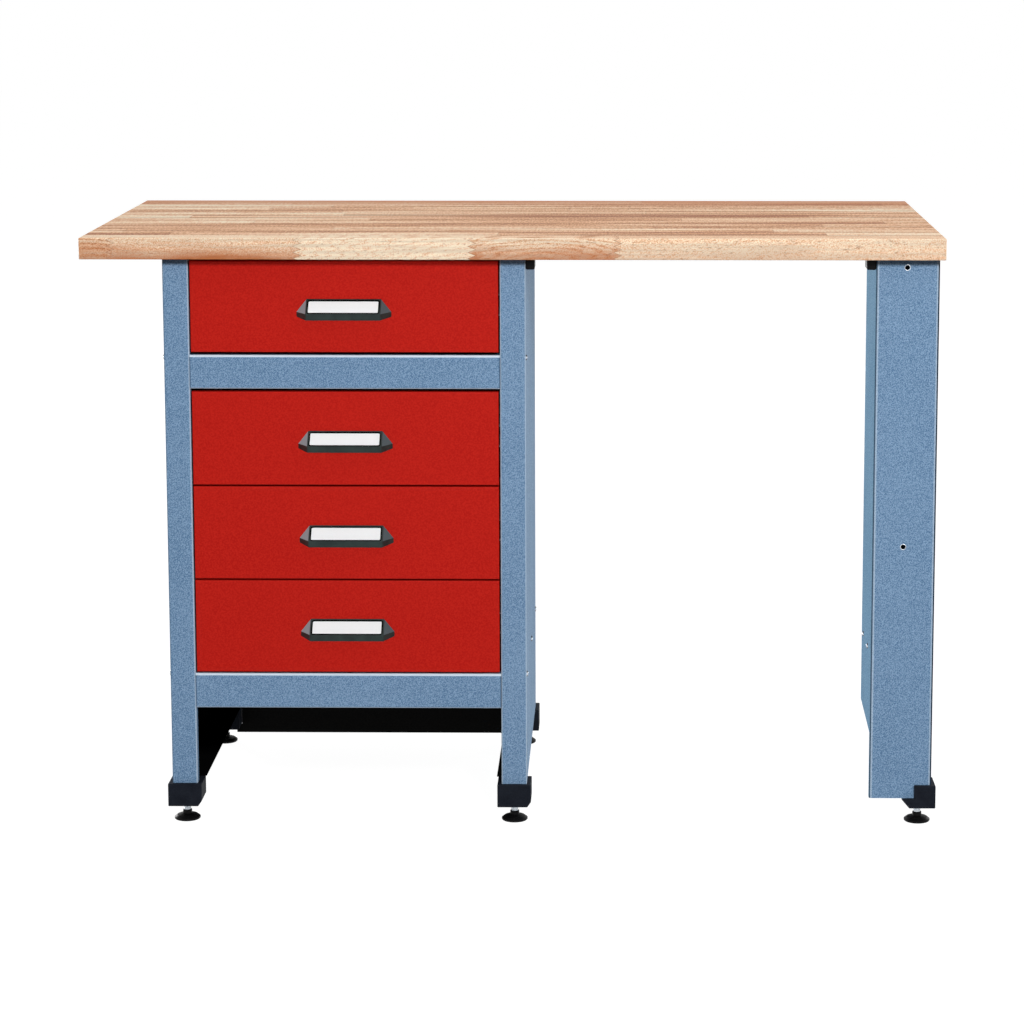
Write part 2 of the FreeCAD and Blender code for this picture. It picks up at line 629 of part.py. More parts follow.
def handle(z0, height):
    """A hip-shaped grip: sloping label face, two end facets, a front lip and a finger hollow."""
    y = Y_FRONT
    out = Y_FRONT - HANDLE_DEPTH
    top = handle_level(z0, height)
    lip = top - HANDLE_SLOPE
    base = lip - HANDLE_LIP
    tip = lip + HANDLE_TIP_RISE
    half = HANDLE_TOP / 2
    ends = HANDLE_TIPS / 2
    corner = {}
    for side in (-1, 1):
        corner["T", side] = V(X_MIDDLE + side * half, y, top)
        corner["F", side] = V(X_MIDDLE + side * half, out, lip)
        corner["G", side] = V(X_MIDDLE + side * half, out, base)
        corner["P", side] = V(X_MIDDLE + side * ends, y, tip)
        corner["Q", side] = V(X_MIDDLE + side * ends, y, tip - HANDLE_TIP_HEIGHT)
    loops = [[("T", -1), ("T", 1), ("F", 1), ("F", -1)], [("F", -1), ("F", 1), ("G", 1), ("G", -1)]]
    loops += [[("G", -1), ("G", 1), ("Q", 1), ("Q", -1)]]
    loops += [[("T", -1), ("T", 1), ("P", 1), ("Q", 1), ("Q", -1), ("P", -1)]]
    for side in (-1, 1):
        loops.append([("T", side), ("F", side), ("P", side)])
        loops.append([("F", side), ("G", side), ("Q", side), ("P", side)])
    inside = V(X_MIDDLE, y - HANDLE_DEPTH / 3, lip)
    faces = [outward_face([corner[name] for name in loop], inside) for loop in loops]
    grip = Part.Solid(Part.Shell(faces))
    outer = [edge for edge in grip.Edges if min(vertex.Y for vertex in edge.Vertexes) < y - HANDLE_ROUND]
    grip = largest(grip.makeFillet(HANDLE_ROUND, outer))
    lean = HANDLE_WALL * 1.6
    hollow = [(y + 1, base - 9), (y + 1, top - lean), (y, top - lean)]
    hollow += [(out + HANDLE_WALL, lip - lean + HANDLE_WALL), (out + HANDLE_WALL, base - 9)]
    grip = grip.cut(along_x(prism(hollow, HANDLE_GRIP), X_MIDDLE - HANDLE_GRIP / 2))
    recess = card_shape(RECESS_MARGIN, RECESS_DEPTH + 1)
    recess.Placement = slope_place(z0, height, CARD_FROM_TOP + CARD_HEIGHT / 2, -RECESS_DEPTH)
    grip = grip.cut(recess)
    for x, z in handle_screw_spots(z0, height):
        deep = HANDLE_SCREW_LENGTH - SHEET + SCREW_PLAY
        grip = grip.cut(rod(SCREW_SHANK / 2 + SCREW_PLAY, V(x, y + 1, z), V(x, y - deep, z)))
    return grip


def label_card(z0, height):
    """The blank card that lies in the recess of a handle."""
    card = card_shape(0, CARD_THICKNESS)
    card.Placement = slope_place(z0, height, CARD_FROM_TOP + CARD_HEIGHT / 2, -RECESS_DEPTH)
    return card


def handle_screws(z0, height):
    """Screws from inside the front into a handle."""
    made = []
    for x, z in handle_screw_spots(z0, height):
        made.append(dome_screw(V(x, Y_FRONT + SHEET, z), V(0, -1, 0), HANDLE_SCREW_LENGTH))
    return made


# All nodes
def nodes():
    """Every node of the bench, by name."""
    made = {"worktop": worktop()}
    made["left_side_panel"] = side_screw_holes(side_panel(X_CABINET, 1, Y_FRONT))
    made["centre_side_panel"] = side_screw_holes(side_panel(X_CENTRE, -1, Y_FRONT))
    made["leg_side_panel"] = side_panel(X_LEG, -1, Y_FRONT + SHEET)
    made["leg_cover"] = leg_cover()
    made["leg_brace"] = leg_brace()
    made["frame_screws"] = worktop_screws() + side_screws() + cover_screws()
    made["middle_rail"] = front_rail(Z_MIDDLE_RAIL, MIDDLE_RAIL_HEIGHT)
    made["bottom_rail"] = front_rail(Z_BOTTOM_RAIL, RAIL_HEIGHT)
    made["cabinet_floor"] = cabinet_floor()
    made["back_panel"] = back_panel()
    nuts = []
    for name, x, y in foot_spots():
        made["foot_cap_" + name] = foot_cap(name, x, y)
        made["foot_stud_" + name] = foot_stud(x, y)
        made["foot_pad_" + name] = foot_pad(x, y)
        nuts.append(foot_nut(x, y))
    made["foot_nuts"] = nuts
    blocks = []
    for number, (z0, height) in enumerate(DRAWERS, 1):
        name = "drawer_%d_" % number
        made[name + "front"] = drawer_front(z0, height)
        made[name + "box"] = drawer_box(z0, height)
        made[name + "handle"] = handle(z0, height)
        made[name + "label"] = label_card(z0, height)
        made[name + "handle_screws"] = handle_screws(z0, height)
        made[name + "glides"] = rear_glides(z0, height)
        made["runners_%d" % number] = runners(z0, height)
        blocks += front_glides(z0, height)
    made["runner_glides"] = blocks
    return made


os.makedirs("parts", exist_ok=True)
for node, shape in nodes().items():
    if isinstance(shape, list):
        shape = Part.makeCompound(shape)
    shape.exportStep("parts/%s.step" % node)
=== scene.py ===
"""Dresses the steel workbench with its drawer cabinet and sets it in a white studio."""
import logging
import math
from dataclasses import dataclass, field
from enum import Enum
from typing import Any, Callable, Sequence

import bmesh
import bpy
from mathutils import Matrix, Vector


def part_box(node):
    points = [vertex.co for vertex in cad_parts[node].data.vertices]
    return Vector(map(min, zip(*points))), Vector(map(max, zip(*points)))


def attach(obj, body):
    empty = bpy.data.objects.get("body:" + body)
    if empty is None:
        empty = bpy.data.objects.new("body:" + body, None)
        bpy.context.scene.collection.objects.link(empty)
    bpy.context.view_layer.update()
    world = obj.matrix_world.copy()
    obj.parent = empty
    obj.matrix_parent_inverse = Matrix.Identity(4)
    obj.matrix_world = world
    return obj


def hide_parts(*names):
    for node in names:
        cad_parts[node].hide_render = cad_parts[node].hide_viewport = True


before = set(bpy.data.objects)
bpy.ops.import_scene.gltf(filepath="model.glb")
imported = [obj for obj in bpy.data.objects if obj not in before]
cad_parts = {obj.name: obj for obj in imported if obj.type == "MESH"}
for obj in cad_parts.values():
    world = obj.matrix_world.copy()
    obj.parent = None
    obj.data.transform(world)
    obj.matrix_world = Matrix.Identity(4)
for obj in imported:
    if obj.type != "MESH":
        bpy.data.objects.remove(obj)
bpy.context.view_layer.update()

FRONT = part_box("leg_cover")[0][1]
log = logging.getLogger("workbench")

Socket = bpy.types.NodeSocket
Piece = bpy.types.Object

# Range that nearly all of a cloudy pattern lies in
MOST_NOISE = (0.3, 0.7)
# Angles in degrees that keep a pattern off the axes
SKEW_PAINT = (37, 23, 31)
SKEW_WOOD = (29, 17, 23)


# Colours and node sketches
@dataclass(frozen=True)
class Tone:
    """A colour as a screen shows it, each part from 0 to 255."""

    red: float
    green: float
    blue: float

    def linear(self) -> tuple[float, float, float, float]:
        """Gives the colour as the linear values that a shader takes.

        Returns:
            Red, green and blue from 0 to 1, and full cover.
        """
        parts = []
        for part in (self.red, self.green, self.blue):
            share = part / 255.0
            parts.append(share / 12.92 if share <= 0.04045 else ((share + 0.055) / 1.055) ** 2.4)
        return (parts[0], parts[1], parts[2], 1.0)


class Look(Enum):
    """The finishes of the bench, with the names of their materials."""

    BEECH = "beech_board"
    BLUE = "blue_hammered"
    BLUE_RAILS = "blue_rails"
    BLUE_LEG_COVER = "blue_leg_cover"
    BLUE_LEG_PANEL = "blue_leg_panel"
    BLUE_LEFT_PANEL = "blue_left_panel"
    BLUE_CENTRE_PANEL = "blue_centre_panel"
    RED = "red_textured"
    GREY_INSIDE = "grey_inside"
    # Near-black coat, painted shade for the back panel and the cabinet floor.
    BLACK_SHEET = "shade_black_sheet"
    CAP_PLASTIC = "black_moulding"
    PAD_PLASTIC = "pad_moulding"
    GRIP_PLASTIC = "handle_moulding"
    LABEL_SURROUND = "label_surround"
    NYLON = "nylon_glide"
    ZINC = "zinc_plate"
    DULL_ZINC = "dull_zinc"
    CARD = "blank_card"


class Zone(Enum):
    """The parts of the worktop that a layer of grain shows on."""

    WHOLE = "whole"
    FRONT_STAVE = "front_stave"
    OTHER_STAVES = "other_staves"


class Sketch:
    """A node material that is put together step by step round one Principled shader."""

    def __init__(self, look: Look) -> None:
        """Starts an empty material.

        Args:
            look: the finish, which names the material.
        """
        self.material = bpy.data.materials.new(look.value)
        self.material.use_nodes = True
        self.tree = self.material.node_tree
        self.tree.nodes.clear()
        self.shader = self.tree.nodes.new("ShaderNodeBsdfPrincipled")
        output = self.tree.nodes.new("ShaderNodeOutputMaterial")
        self.tree.links.new(self.shader.outputs["BSDF"], output.inputs["Surface"])

    def feed(self, socket: Socket, value: Any) -> None:
        """Links a socket to an output, or sets it to a constant.

        Args:
            socket: the socket to feed.
            value: an output, a colour or a number.
        """
        if isinstance(value, bpy.types.NodeSocket):
            self.tree.links.new(value, socket)
        elif isinstance(value, Tone):
            socket.default_value = value.linear()
        else:
            socket.default_value = value

    def node(self, kind: str, inputs: dict[Any, Any] | None = None, **settings: Any) -> bpy.types.Node:
        """Adds a node.

        Args:
            kind: type name without its ShaderNode prefix.
            inputs: sockets by name or number, with what feeds them.
            settings: properties of the node.

        Returns:
            The new node.
        """
        made = self.tree.nodes.new("ShaderNode" + kind)
        for key, value in settings.items():
            setattr(made, key, value)
        for key, value in (inputs or {}).items():
            self.feed(made.inputs[key], value)
        return made

    def place(self, scale: Sequence[float] = (1, 1, 1), shift: Any = (0, 0, 0),
              turn: Sequence[float] = (0, 0, 0)) -> Socket:
        """Gives Object coordinates, turned, stretched and moved.

        Args:
            scale: factors along the three axes.
            shift: move after that.
            turn: three angles in degrees.

        Returns:
            The coordinates.
        """
        spot = self.node("TexCoord").outputs["Object"]
        if any(turn):
            angles = [math.radians(angle) for angle in turn]
            spot = self.node("Mapping", {"Vector": spot, "Rotation": angles}).outputs["Vector"]
        mapping = self.node("Mapping", {"Vector": spot, "Location": shift, "Scale": scale})
        return mapping.outputs["Vector"]

    def math(self, how: str, one: Any, two: Any = 0.0) -> Socket:
        """Gives the result of a sum on one or two values."""
        return self.node("Math", {0: one, 1: two}, operation=how).outputs[0]

    def noise(self, where: Socket, scale: float, detail: float = 3.0, rough: float = 0.55) -> Socket:
        """Gives a cloudy pattern."""
        made = self.node("TexNoise", {"Vector": where, "Scale": scale, "Detail": detail, "Roughness": rough})
        return made.outputs["Fac"]

    def cells(self, where: Socket, scale: float, smooth: float = 0.6) -> Socket:
        """Gives rounded cells."""
        inputs = {"Vector": where, "Scale": scale, "Smoothness": smooth}
        return self.node("TexVoronoi", inputs, feature="SMOOTH_F1").outputs["Distance"]

    def ramp(self, value: Any, stops: Sequence[tuple[float, Tone]]) -> Socket:
        """Gives a colour that runs through the stops as the value grows.

        Args:
            value: what the colour follows.
            stops: values with their colours, from low to high.

        Returns:
            The colour.
        """
        made = self.node("ValToRGB", {"Fac": value})
        band = made.color_ramp.elements
        while len(band) < len(stops):
            band.new(0.5)
        for step, (spot, tone) in zip(band, stops):
            step.position = spot
            step.color = tone.linear()
        return made.outputs["Color"]

    def span(self, value: Any, low: float, high: float, start: float = 0.0, end: float = 1.0) -> Socket:
        """Gives a value carried from one range to another and held at its ends."""
        sockets = {"Value": value, "From Min": low, "From Max": high, "To Min": start, "To Max": end}
        return self.node("MapRange", sockets).outputs["Result"]

    def sway(self, pattern: Socket, start: float, end: float) -> Socket:
        """Gives a cloudy pattern carried to another range."""
        return self.span(pattern, *MOST_NOISE, start, end)

    def parts(self, vector: Socket) -> Sequence[Socket]:
        """Gives the three parts of a vector."""
        return self.node("SeparateXYZ", {"Vector": vector}).outputs

    def facing(self) -> Sequence[Socket]:
        """Gives the three parts of the direction that a face looks in."""
        return self.parts(self.node("NewGeometry").outputs["Normal"])

    def mix(self, share: Any, under: Any, over: Any) -> Socket:
        """Gives one colour laid over another, by the numbers of the node's colour sockets."""
        return self.node("Mix", {0: share, 6: under, 7: over}, data_type="RGBA").outputs[2]

    def bump(self, height: Socket, strength: float, depth: float) -> None:
        """Raises the surface by a height pattern."""
        made = self.node("Bump", {"Height": height, "Strength": strength, "Distance": depth})
        self.feed(self.shader.inputs["Normal"], made.outputs["Normal"])

    def finish(self, **sockets: Any) -> bpy.types.Material:
        """Feeds the shader's own sockets.

        Args:
            sockets: values by the names of the sockets, with underscores for spaces.

        Returns:
            The material.
        """
        for key, value in sockets.items():
            self.feed(self.shader.inputs[key.replace("_", " ")], value)
        return self.material


# Finishes
@dataclass(frozen=True)
class InnerShade:
    """Painted shade on the inner side of a folded panel, told by where it lies.

    Attributes:
        start: where the inner side begins, across the bench.
        side: 1 where it lies to the right of that, -1 to the left.
        lip: how far back the front post and its lip stay in the outer colour.
        rear: where the outer face of the rear post begins.
        tone: colour of the painted shade.
    """

    start: float
    side: int
    lip: float
    rear: float
    tone: Tone = Tone(11, 11, 12)

    def over(self, art: Sketch, where: Socket, colour: Socket) -> Socket:
        """Lays the painted shade of the inner side over the outer colour.

        Args:
            art: the sketch in work.
            where: Object coordinates.
            colour: the outer colour.

        Returns:
            The colour of both sides.
        """
        spot = art.parts(where)
        across = art.math("GREATER_THAN" if self.side > 0 else "LESS_THAN", spot[0], self.start)
        behind = art.math("GREATER_THAN", spot[1], self.lip)
        within = art.math("MULTIPLY", behind, art.math("LESS_THAN", spot[1], self.rear))
        return art.mix(art.math("MULTIPLY", across, within), colour, self.tone)


@dataclass(frozen=True)
class EdgeLightLine:
    """A painted line along an edge: a pale painted highlight on a rounded fold, or a dark painted shade
    where two sheets meet or under the worktop.

    Attributes:
        axis: 0 for a line at one place across the bench, 2 for a line at one height.
        spot: where the line lies on that axis.
        reach: half of its width.
        share: how much of the tone shows.
        tone: colour of the painted highlight or shade.
        depth: how far back from the front plane it reaches.
        soft: share of its half width over which it fades.
    """

    axis: int
    spot: float
    reach: float
    share: float
    tone: Tone = Tone(216, 231, 243)
    depth: float = 0.004
    soft: float = 0.2

    def over(self, art: Sketch, where: Socket, colour: Socket) -> Socket:
        """Lays the painted highlight or shade line over the sheet's colour.

        Args:
            art: the sketch in work.
            where: Object coordinates.
            colour: the sheet's colour.

        Returns:
            The colour with the line.
        """
        spot = art.parts(where)
        gap = art.math("ABSOLUTE", art.math("SUBTRACT", spot[self.axis], self.spot))
        ahead = art.math("LESS_THAN", spot[1], FRONT + self.depth)
        inner = self.reach * (1.0 - self.soft)
        outer = self.reach * (1.0 + self.soft)
        line = art.span(gap, inner, outer, self.share, 0.0)
        return art.mix(art.math("MULTIPLY", line, ahead), colour, self.tone)


@dataclass(frozen=True)
class HammeredPaint:
    """Stove enamel with a small hammered mottle.

    Attributes:
        look: which finish it is.
        low: colour of the hollows.
        high: colour of the crests.
        size: about how many mottles lie along a metre.
        rough: roughness of the coat.
        relief: strength of the mottle's relief.
        gloss: specular level of the coat.
        inside: painted shade on the inner side, where the piece has one.
        edge_lights: painted highlight and shade lines along its edges.
        side_lit_tones: colours of hollows and crests on the faces that look sideways, painted light that
            sets these faces apart from the front.
        ends: where on the mottle's range the two colours lie.
        cloud: about how many large, faint clouds lie along a metre.
        depth: height of the relief in metres.
        sideways: part of its direction above which a face looks sideways.
    """

    look: Look
    low: Tone
    high: Tone
    size: float = 700.0
    rough: float = 0.85
    relief: float = 0.2
    gloss: float = 0.0
    inside: InnerShade | None = None
    edge_lights: tuple[EdgeLightLine, ...] = ()
    side_lit_tones: tuple[Tone, Tone] | None = None
    ends: tuple[float, float] = (0.36, 0.64)
    cloud: float = 7.0
    depth: float = 0.0007
    sideways: float = 0.6

    def make(self) -> bpy.types.Material:
        """Builds the material.

        Returns:
            The finished material.
        """
        art = Sketch(self.look)
        where = art.place()
        slanted = art.place(turn=SKEW_PAINT)
        mottle = art.noise(slanted, self.size, 1.0, 0.45)
        cloud = art.noise(where, self.cloud, 2.0)
        value = art.math("ADD", mottle, art.sway(cloud, -0.02, 0.02))
        colour = art.ramp(value, tuple(zip(self.ends, (self.low, self.high))))
        # Painted light: faces that look sideways take hollow and crest colours of their own.
        if self.side_lit_tones:
            sideways = art.math("GREATER_THAN", art.math("ABSOLUTE", art.facing()[0]), self.sideways)
            thin = art.ramp(value, tuple(zip(self.ends, self.side_lit_tones)))
            colour = art.mix(sideways, colour, thin)
        # Painted highlight and shade lines along the edges.
        for edge_light in self.edge_lights:
            colour = edge_light.over(art, where, colour)
        # Painted shade on the inner side of the sheet.
        if self.inside:
            colour = self.inside.over(art, where, colour)
        dimple = art.cells(slanted, self.size * 0.8)
        height = art.math("ADD", dimple, art.math("MULTIPLY", mottle, 0.6))
        art.bump(height, self.relief, self.depth)
        rough = art.sway(mottle, self.rough + 0.06, self.rough - 0.05)
        return art.finish(Base_Color=colour, Roughness=rough, Specular_IOR_Level=self.gloss)


@dataclass(frozen=True)
class MouldedPlastic:
    """Plastic with a fine spark-eroded skin.

    Attributes:
        look: which finish it is.
        low: darker tone.
        high: lighter tone.
        rough: roughness of the skin.
        relief: strength of its relief.
        gloss: specular level.
        skin: about how many pits lie along a metre.
        cloud: about how many clouds lie along a metre.
        depth: height of the relief in metres.
    """

    look: Look
    low: Tone
    high: Tone
    rough: float = 0.45
    relief: float = 0.12
    gloss: float = 0.3
    skin: float = 900.0
    cloud: float = 60.0
    depth: float = 0.0004

    def make(self) -> bpy.types.Material:
        """Builds the material.

        Returns:
            The finished material.
        """
        art = Sketch(self.look)
        where = art.place()
        skin = art.noise(where, self.skin, 2.0, 0.6)
        cloud = art.noise(where, self.cloud, 3.0)
        value = art.math("ADD", art.math("MULTIPLY", skin, 0.5), art.math("MULTIPLY", cloud, 0.5))
        colour = art.ramp(value, ((0.35, self.low), (0.65, self.high)))
        art.bump(skin, self.relief, self.depth)
        rough = art.sway(cloud, self.rough - 0.06, self.rough + 0.08)
        return art.finish(Base_Color=colour, Roughness=rough, Specular_IOR_Level=self.gloss)


@dataclass(frozen=True)
class ZincPlate:
    """Bright zinc on steel, with the cloudy bloom of the bath.

    Attributes:
        look: which finish it is.
        low: darker tone of the bloom.
        high: lighter tone of the bloom.
        rough: roughness of the plating.
        rim: painted shade where the surface curves up or down, as round a screw head.
        bloom: about how many clouds of the bloom lie along a metre.
        grain: about how many grains lie along a metre.
        metal: how metallic it is.
    """

    look: Look
    low: Tone
    high: Tone
    rough: float = 0.3
    rim: Tone | None = None
    bloom: float = 140.0
    grain: float = 1200.0
    metal: float = 0.9

    def make(self) -> bpy.types.Material:
        """Builds the material.

        Returns:
            The finished material.
        """
        art = Sketch(self.look)
        where = art.place()
        bloom = art.noise(where, self.bloom, 4.0, 0.6)
        grain = art.noise(where, self.grain, 2.0)
        colour = art.ramp(bloom, tuple(zip(MOST_NOISE, (self.low, self.high))))
        # Painted shade where the surface turns up or down, as on the top and bottom of a screw head.
        if self.rim:
            curve = art.span(art.math("ABSOLUTE", art.facing()[2]), 0.25, 0.42)
            colour = art.mix(curve, colour, self.rim)
        art.bump(grain, 0.06, 0.0003)
        rough = art.sway(bloom, self.rough - 0.06, self.rough + 0.1)
        return art.finish(Base_Color=colour, Roughness=rough, Metallic=self.metal)


@dataclass(frozen=True)
class PaperCard:
    """Blank label card with a faint fibre.

    Attributes:
        look: which finish it is.
        low: darker tone.
        high: lighter tone.
        fibre: about how many fibres lie along a metre.
    """

    look: Look
    low: Tone
    high: Tone
    fibre: float = 420.0

    def make(self) -> bpy.types.Material:
        """Builds the material.

        Returns:
            The finished material.
        """
        art = Sketch(self.look)
        fibre = art.noise(art.place((1, 3, 3)), self.fibre, 5.0, 0.7)
        colour = art.ramp(fibre, tuple(zip(MOST_NOISE, (self.low, self.high))))
        art.bump(fibre, 0.05, 0.0002)
        return art.finish(Base_Color=colour, Roughness=0.6, Specular_IOR_Level=0.15)


@dataclass(frozen=True)
class EdgeStave:
    """One length of the stave that shows along the front edge.

    Attributes:
        start: where it begins along the bench, in metres.
        tone: how light it is, from 0 to 1.
        heart: how much darker heartwood runs along its foot.
        flame: how strongly its year rings show.
        core_x: where the middle of its rings lies along the bench.
        core_z: height of that middle.
    """

    start: float
    tone: float
    heart: float
    flame: float
    core_x: float
    core_z: float


@dataclass(frozen=True)
class GrainLayer:
    """One layer of cloudy streaks in the wood.

    Attributes:
        waves: how many waves lie along a metre of the board's length, depth and height.
        detail: how many finer octaves it has.
        rough: how strong these are.
        dark: how far its low parts darken the wood.
        light: how far its high parts lighten it.
        zone: where it shows.
        turn: angles in degrees by which it is turned.
        spread: half of the pattern's range that counts.
    """

    waves: tuple[float, float, float]
    detail: float = 2.0
    rough: float = 0.5
    dark: float = 0.0
    light: float = 0.0
    zone: Zone = Zone.WHOLE
    turn: tuple[float, float, float] = (0, 0, 0)
    spread: float = 0.2

    def pattern(self, art: Sketch, shift: Any = (0, 0, 0)) -> Socket:
        """Gives the bare pattern, moved by a shift."""
        return art.noise(art.place(self.waves, shift, self.turn), 1.0, self.detail, self.rough)

    def over(self, art: Sketch, value: Socket, pattern: Socket, zones: dict[Zone, Socket]) -> Socket:
        """Lightens and darkens the wood where the layer shows.

        Args:
            art: the sketch in work.
            value: lightness of the wood so far.
            pattern: the layer's own pattern.
            zones: masks of the zones that are only part of the board.

        Returns:
            The new lightness.
        """
        change = art.span(pattern, 0.5 - self.spread, 0.5 + self.spread, self.dark, self.light)
        if self.zone in zones:
            change = art.math("MULTIPLY", change, zones[self.zone])
        return art.math("ADD", value, change)


@dataclass(frozen=True)
class BeechBoard:
    """Oiled beech glued up from finger-jointed staves that run along the bench.

    Attributes:
        look: which finish it is.
        staves: how many staves lie side by side.
        depth: depth of the board.
        front: where its front edge lies.
        under: height of its lower face.
        length: usual length of one piece of a stave.
        finger: height of one finger of a joint.
        finger_reach: how far the fingers reach into each other.
        ring_gap: distance between year rings.
        ring_stretch: how far the rings are drawn out along the bench.
        edge: the lengths of the front stave, from left to right.
        long, streak, fine, ripple, speck, slant: layers of the grain that change its lightness.
        pores, blur: layers of the sawn ends.
        flame: layer that makes rings and heartwood uneven.
        dots, dark_line: layers of the flecks and of the long dark lines.
        tones: colours of the wood from dark to light.
        heartwood: colour of the heartwood along the foot of the front edge.
        heart_rise: how far up the heartwood reaches.
        heart_share: how much of its colour shows.
        glue_line: colour of the glued joints.
        fleck: colour of the short dark flecks.
        back_stave: colour of the staves near the wall.
        rear_edge: how much darker the edge at the wall is.
        lengthways: part of its direction above which a face is a sawn end.
        facing: part of its direction above which a face looks up, or to the wall.
        stave_tones: lightness of the darkest and of the lightest stave.
        edge_band: distances from the front over which the front stave's own tone fades.
        edge_above: how much of that tone is left on the upper face.
        first_draw, second_draw: factors that make more chance values out of one.
        end_core_y: where the middle of the rings may lie on a sawn end, in widths of a stave.
        end_core_z: how far above the lower face that middle may lie.
        end_ring_gap: distance between the rings there.
        joint_line: half widths at which a finger joint's line starts and ends to fade.
        joint_share: how much of that line shows.
        joint_depth: share of the front stave's width that shows its finger joints.
        heart_wave: how far the upper border of the heartwood wanders up and down.
        fleck_cut, line_cut: range of the pattern in which flecks and dark lines come up.
        mark_share: how much of these, and of the glued joints, shows.
        seam_cut, butt_cut: distances from the middle at which glued joints start, in widths and lengths.
        butt_share: how much of the joints between lengths shows.
        worn_cut: range of the streaks in which a glued joint is worn.
        worn_share: how much of it is left where it is worn most.
        back_rows: staves before the wall where its tone starts and is full.
        back_share: how much of that tone shows.
        pore_depth: height of the grain's relief in metres.
    """

    look: Look = Look.BEECH
    staves: int = 14
    depth: float = 0.601
    front: float = -0.3005
    under: float = 0.810
    length: float = 0.46
    finger: float = 0.0085
    finger_reach: float = 0.011
    ring_gap: float = 0.0062
    ring_stretch: float = 0.3
    edge: tuple[EdgeStave, ...] = (
        EdgeStave(-0.600, 0.66, 0.90, 0.8, -0.575, 0.780),
        EdgeStave(-0.551, 0.77, 1.10, 0.1, -0.430, 0.780),
        EdgeStave(-0.292, 1.00, 0.00, 0.7, -0.037, 0.795),
        EdgeStave(-0.050, 0.83, 0.95, 1.0, 0.045, 0.802),
        EdgeStave(0.152, 0.85, 0.28, 0.12, 0.400, 0.780),
    )
    long: GrainLayer = GrainLayer((1.4, 27, 27), 4.0, 0.7, -0.58, 0.48, Zone.OTHER_STAVES)
    streak: GrainLayer = GrainLayer((4, 170, 170), 5.0, 0.62, -0.24, 0.22, spread=0.25)
    fine: GrainLayer = GrainLayer((30, 620, 620), 4.0, 0.7, -0.12, 0.12)
    ripple: GrainLayer = GrainLayer((380, 70, 70), 1.0, 0.5, -0.17, 0.17, Zone.OTHER_STAVES)
    speck: GrainLayer = GrainLayer((560, 640, 640), 1.0, 0.5, -0.30, 0.30, Zone.FRONT_STAVE, SKEW_WOOD)
    slant: GrainLayer = GrainLayer((110, 900, 900), 3.0, 0.6, -0.18, 0.18, Zone.FRONT_STAVE, (0, 24, 0))
    pores: GrainLayer = GrainLayer((900, 900, 900), 2.0, 0.55, -0.16, 0.08, turn=SKEW_WOOD)
    blur: GrainLayer = GrainLayer((40, 90, 90), 2.0, 0.55)
    flame: GrainLayer = GrainLayer((7, 30, 46), 3.0)
    dots: GrainLayer = GrainLayer((130, 520, 520))
    dark_line: GrainLayer = GrainLayer((1.1, 110, 110))
    tones: tuple[tuple[float, Tone], ...] = (
        (0.0, Tone(154, 97, 64)),
        (0.3, Tone(206, 153, 114)),
        (0.6, Tone(239, 196, 159)),
        (1.0, Tone(255, 240, 213)),
    )
    heartwood: Tone = Tone(188, 109, 60)
    heart_rise: float = 0.025
    heart_share: float = 0.88
    glue_line: Tone = Tone(132, 82, 56)
    fleck: Tone = Tone(146, 92, 60)
    back_stave: Tone = Tone(190, 118, 74)
    rear_edge: float = -0.22
    lengthways: float = 0.6
    facing: float = 0.5
    stave_tones: tuple[float, float] = (0.36, 0.80)
    edge_band: tuple[float, float] = (0.001, 0.004)
    edge_above: float = 0.3
    first_draw: float = 7.0
    second_draw: float = 17.0
    end_core_y: tuple[float, float] = (-0.4, 1.4)
    end_core_z: tuple[float, float] = (-0.06, 0.09)
    end_ring_gap: float = 0.00279
    joint_line: tuple[float, float] = (0.0004, 0.0013)
    joint_share: float = 0.75
    joint_depth: float = 0.05
    heart_wave: float = 0.007
    fleck_cut: tuple[float, float] = (0.62, 0.70)
    line_cut: tuple[float, float] = (0.60, 0.66)
    mark_share: float = 0.5
    seam_cut: tuple[float, float] = (0.470, 0.497)
    butt_cut: tuple[float, float] = (0.4965, 0.4995)
    butt_share: float = 0.2
    worn_cut: tuple[float, float] = (0.35, 0.6)
    worn_share: float = 0.1
    back_rows: tuple[float, float] = (2.4, 0.3)
    back_share: float = 0.85
    pore_depth: float = 0.0006

    def edge_value(self, art: Sketch, along: Socket, name: str) -> Socket:
        """Gives a value that steps from one length of the front stave to the next.

        Args:
            art: the sketch in work.
            along: position along the bench, with the finger zigzag in it.
            name: field of EdgeStave that is wanted.

        Returns:
            The stepped value.
        """
        before = self.edge[0]
        value: Any = getattr(before, name)
        for stave in self.edge[1:]:
            step = art.math("GREATER_THAN", along, stave.start)
            change = getattr(stave, name) - getattr(before, name)
            value = art.math("ADD", value, art.math("MULTIPLY", step, change))
            before = stave
        return value

    def joint_lines(self, art: Sketch, along: Socket) -> Socket:
        """Gives the thin dark lines of the finger joints on the front stave.

        Args:
            art: the sketch in work.
            along: position along the bench, with the finger zigzag in it.

        Returns:
            How much of the line shows.
        """
        lines: Any = 0.0
        for stave in self.edge[1:]:
            gap = art.math("ABSOLUTE", art.math("SUBTRACT", along, stave.start))
            lines = art.math("MAXIMUM", lines, art.span(gap, *self.joint_line, self.joint_share, 0.0))
        return lines

    def distance(self, art: Sketch, beside: Socket, above: Socket, gap: float) -> Socket:
        """Gives how many rings lie between a point and the middle of its rings."""
        square = art.math("ADD", art.math("MULTIPLY", beside, beside), art.math("MULTIPLY", above, above))
        return art.math("DIVIDE", art.math("SQRT", square), gap)

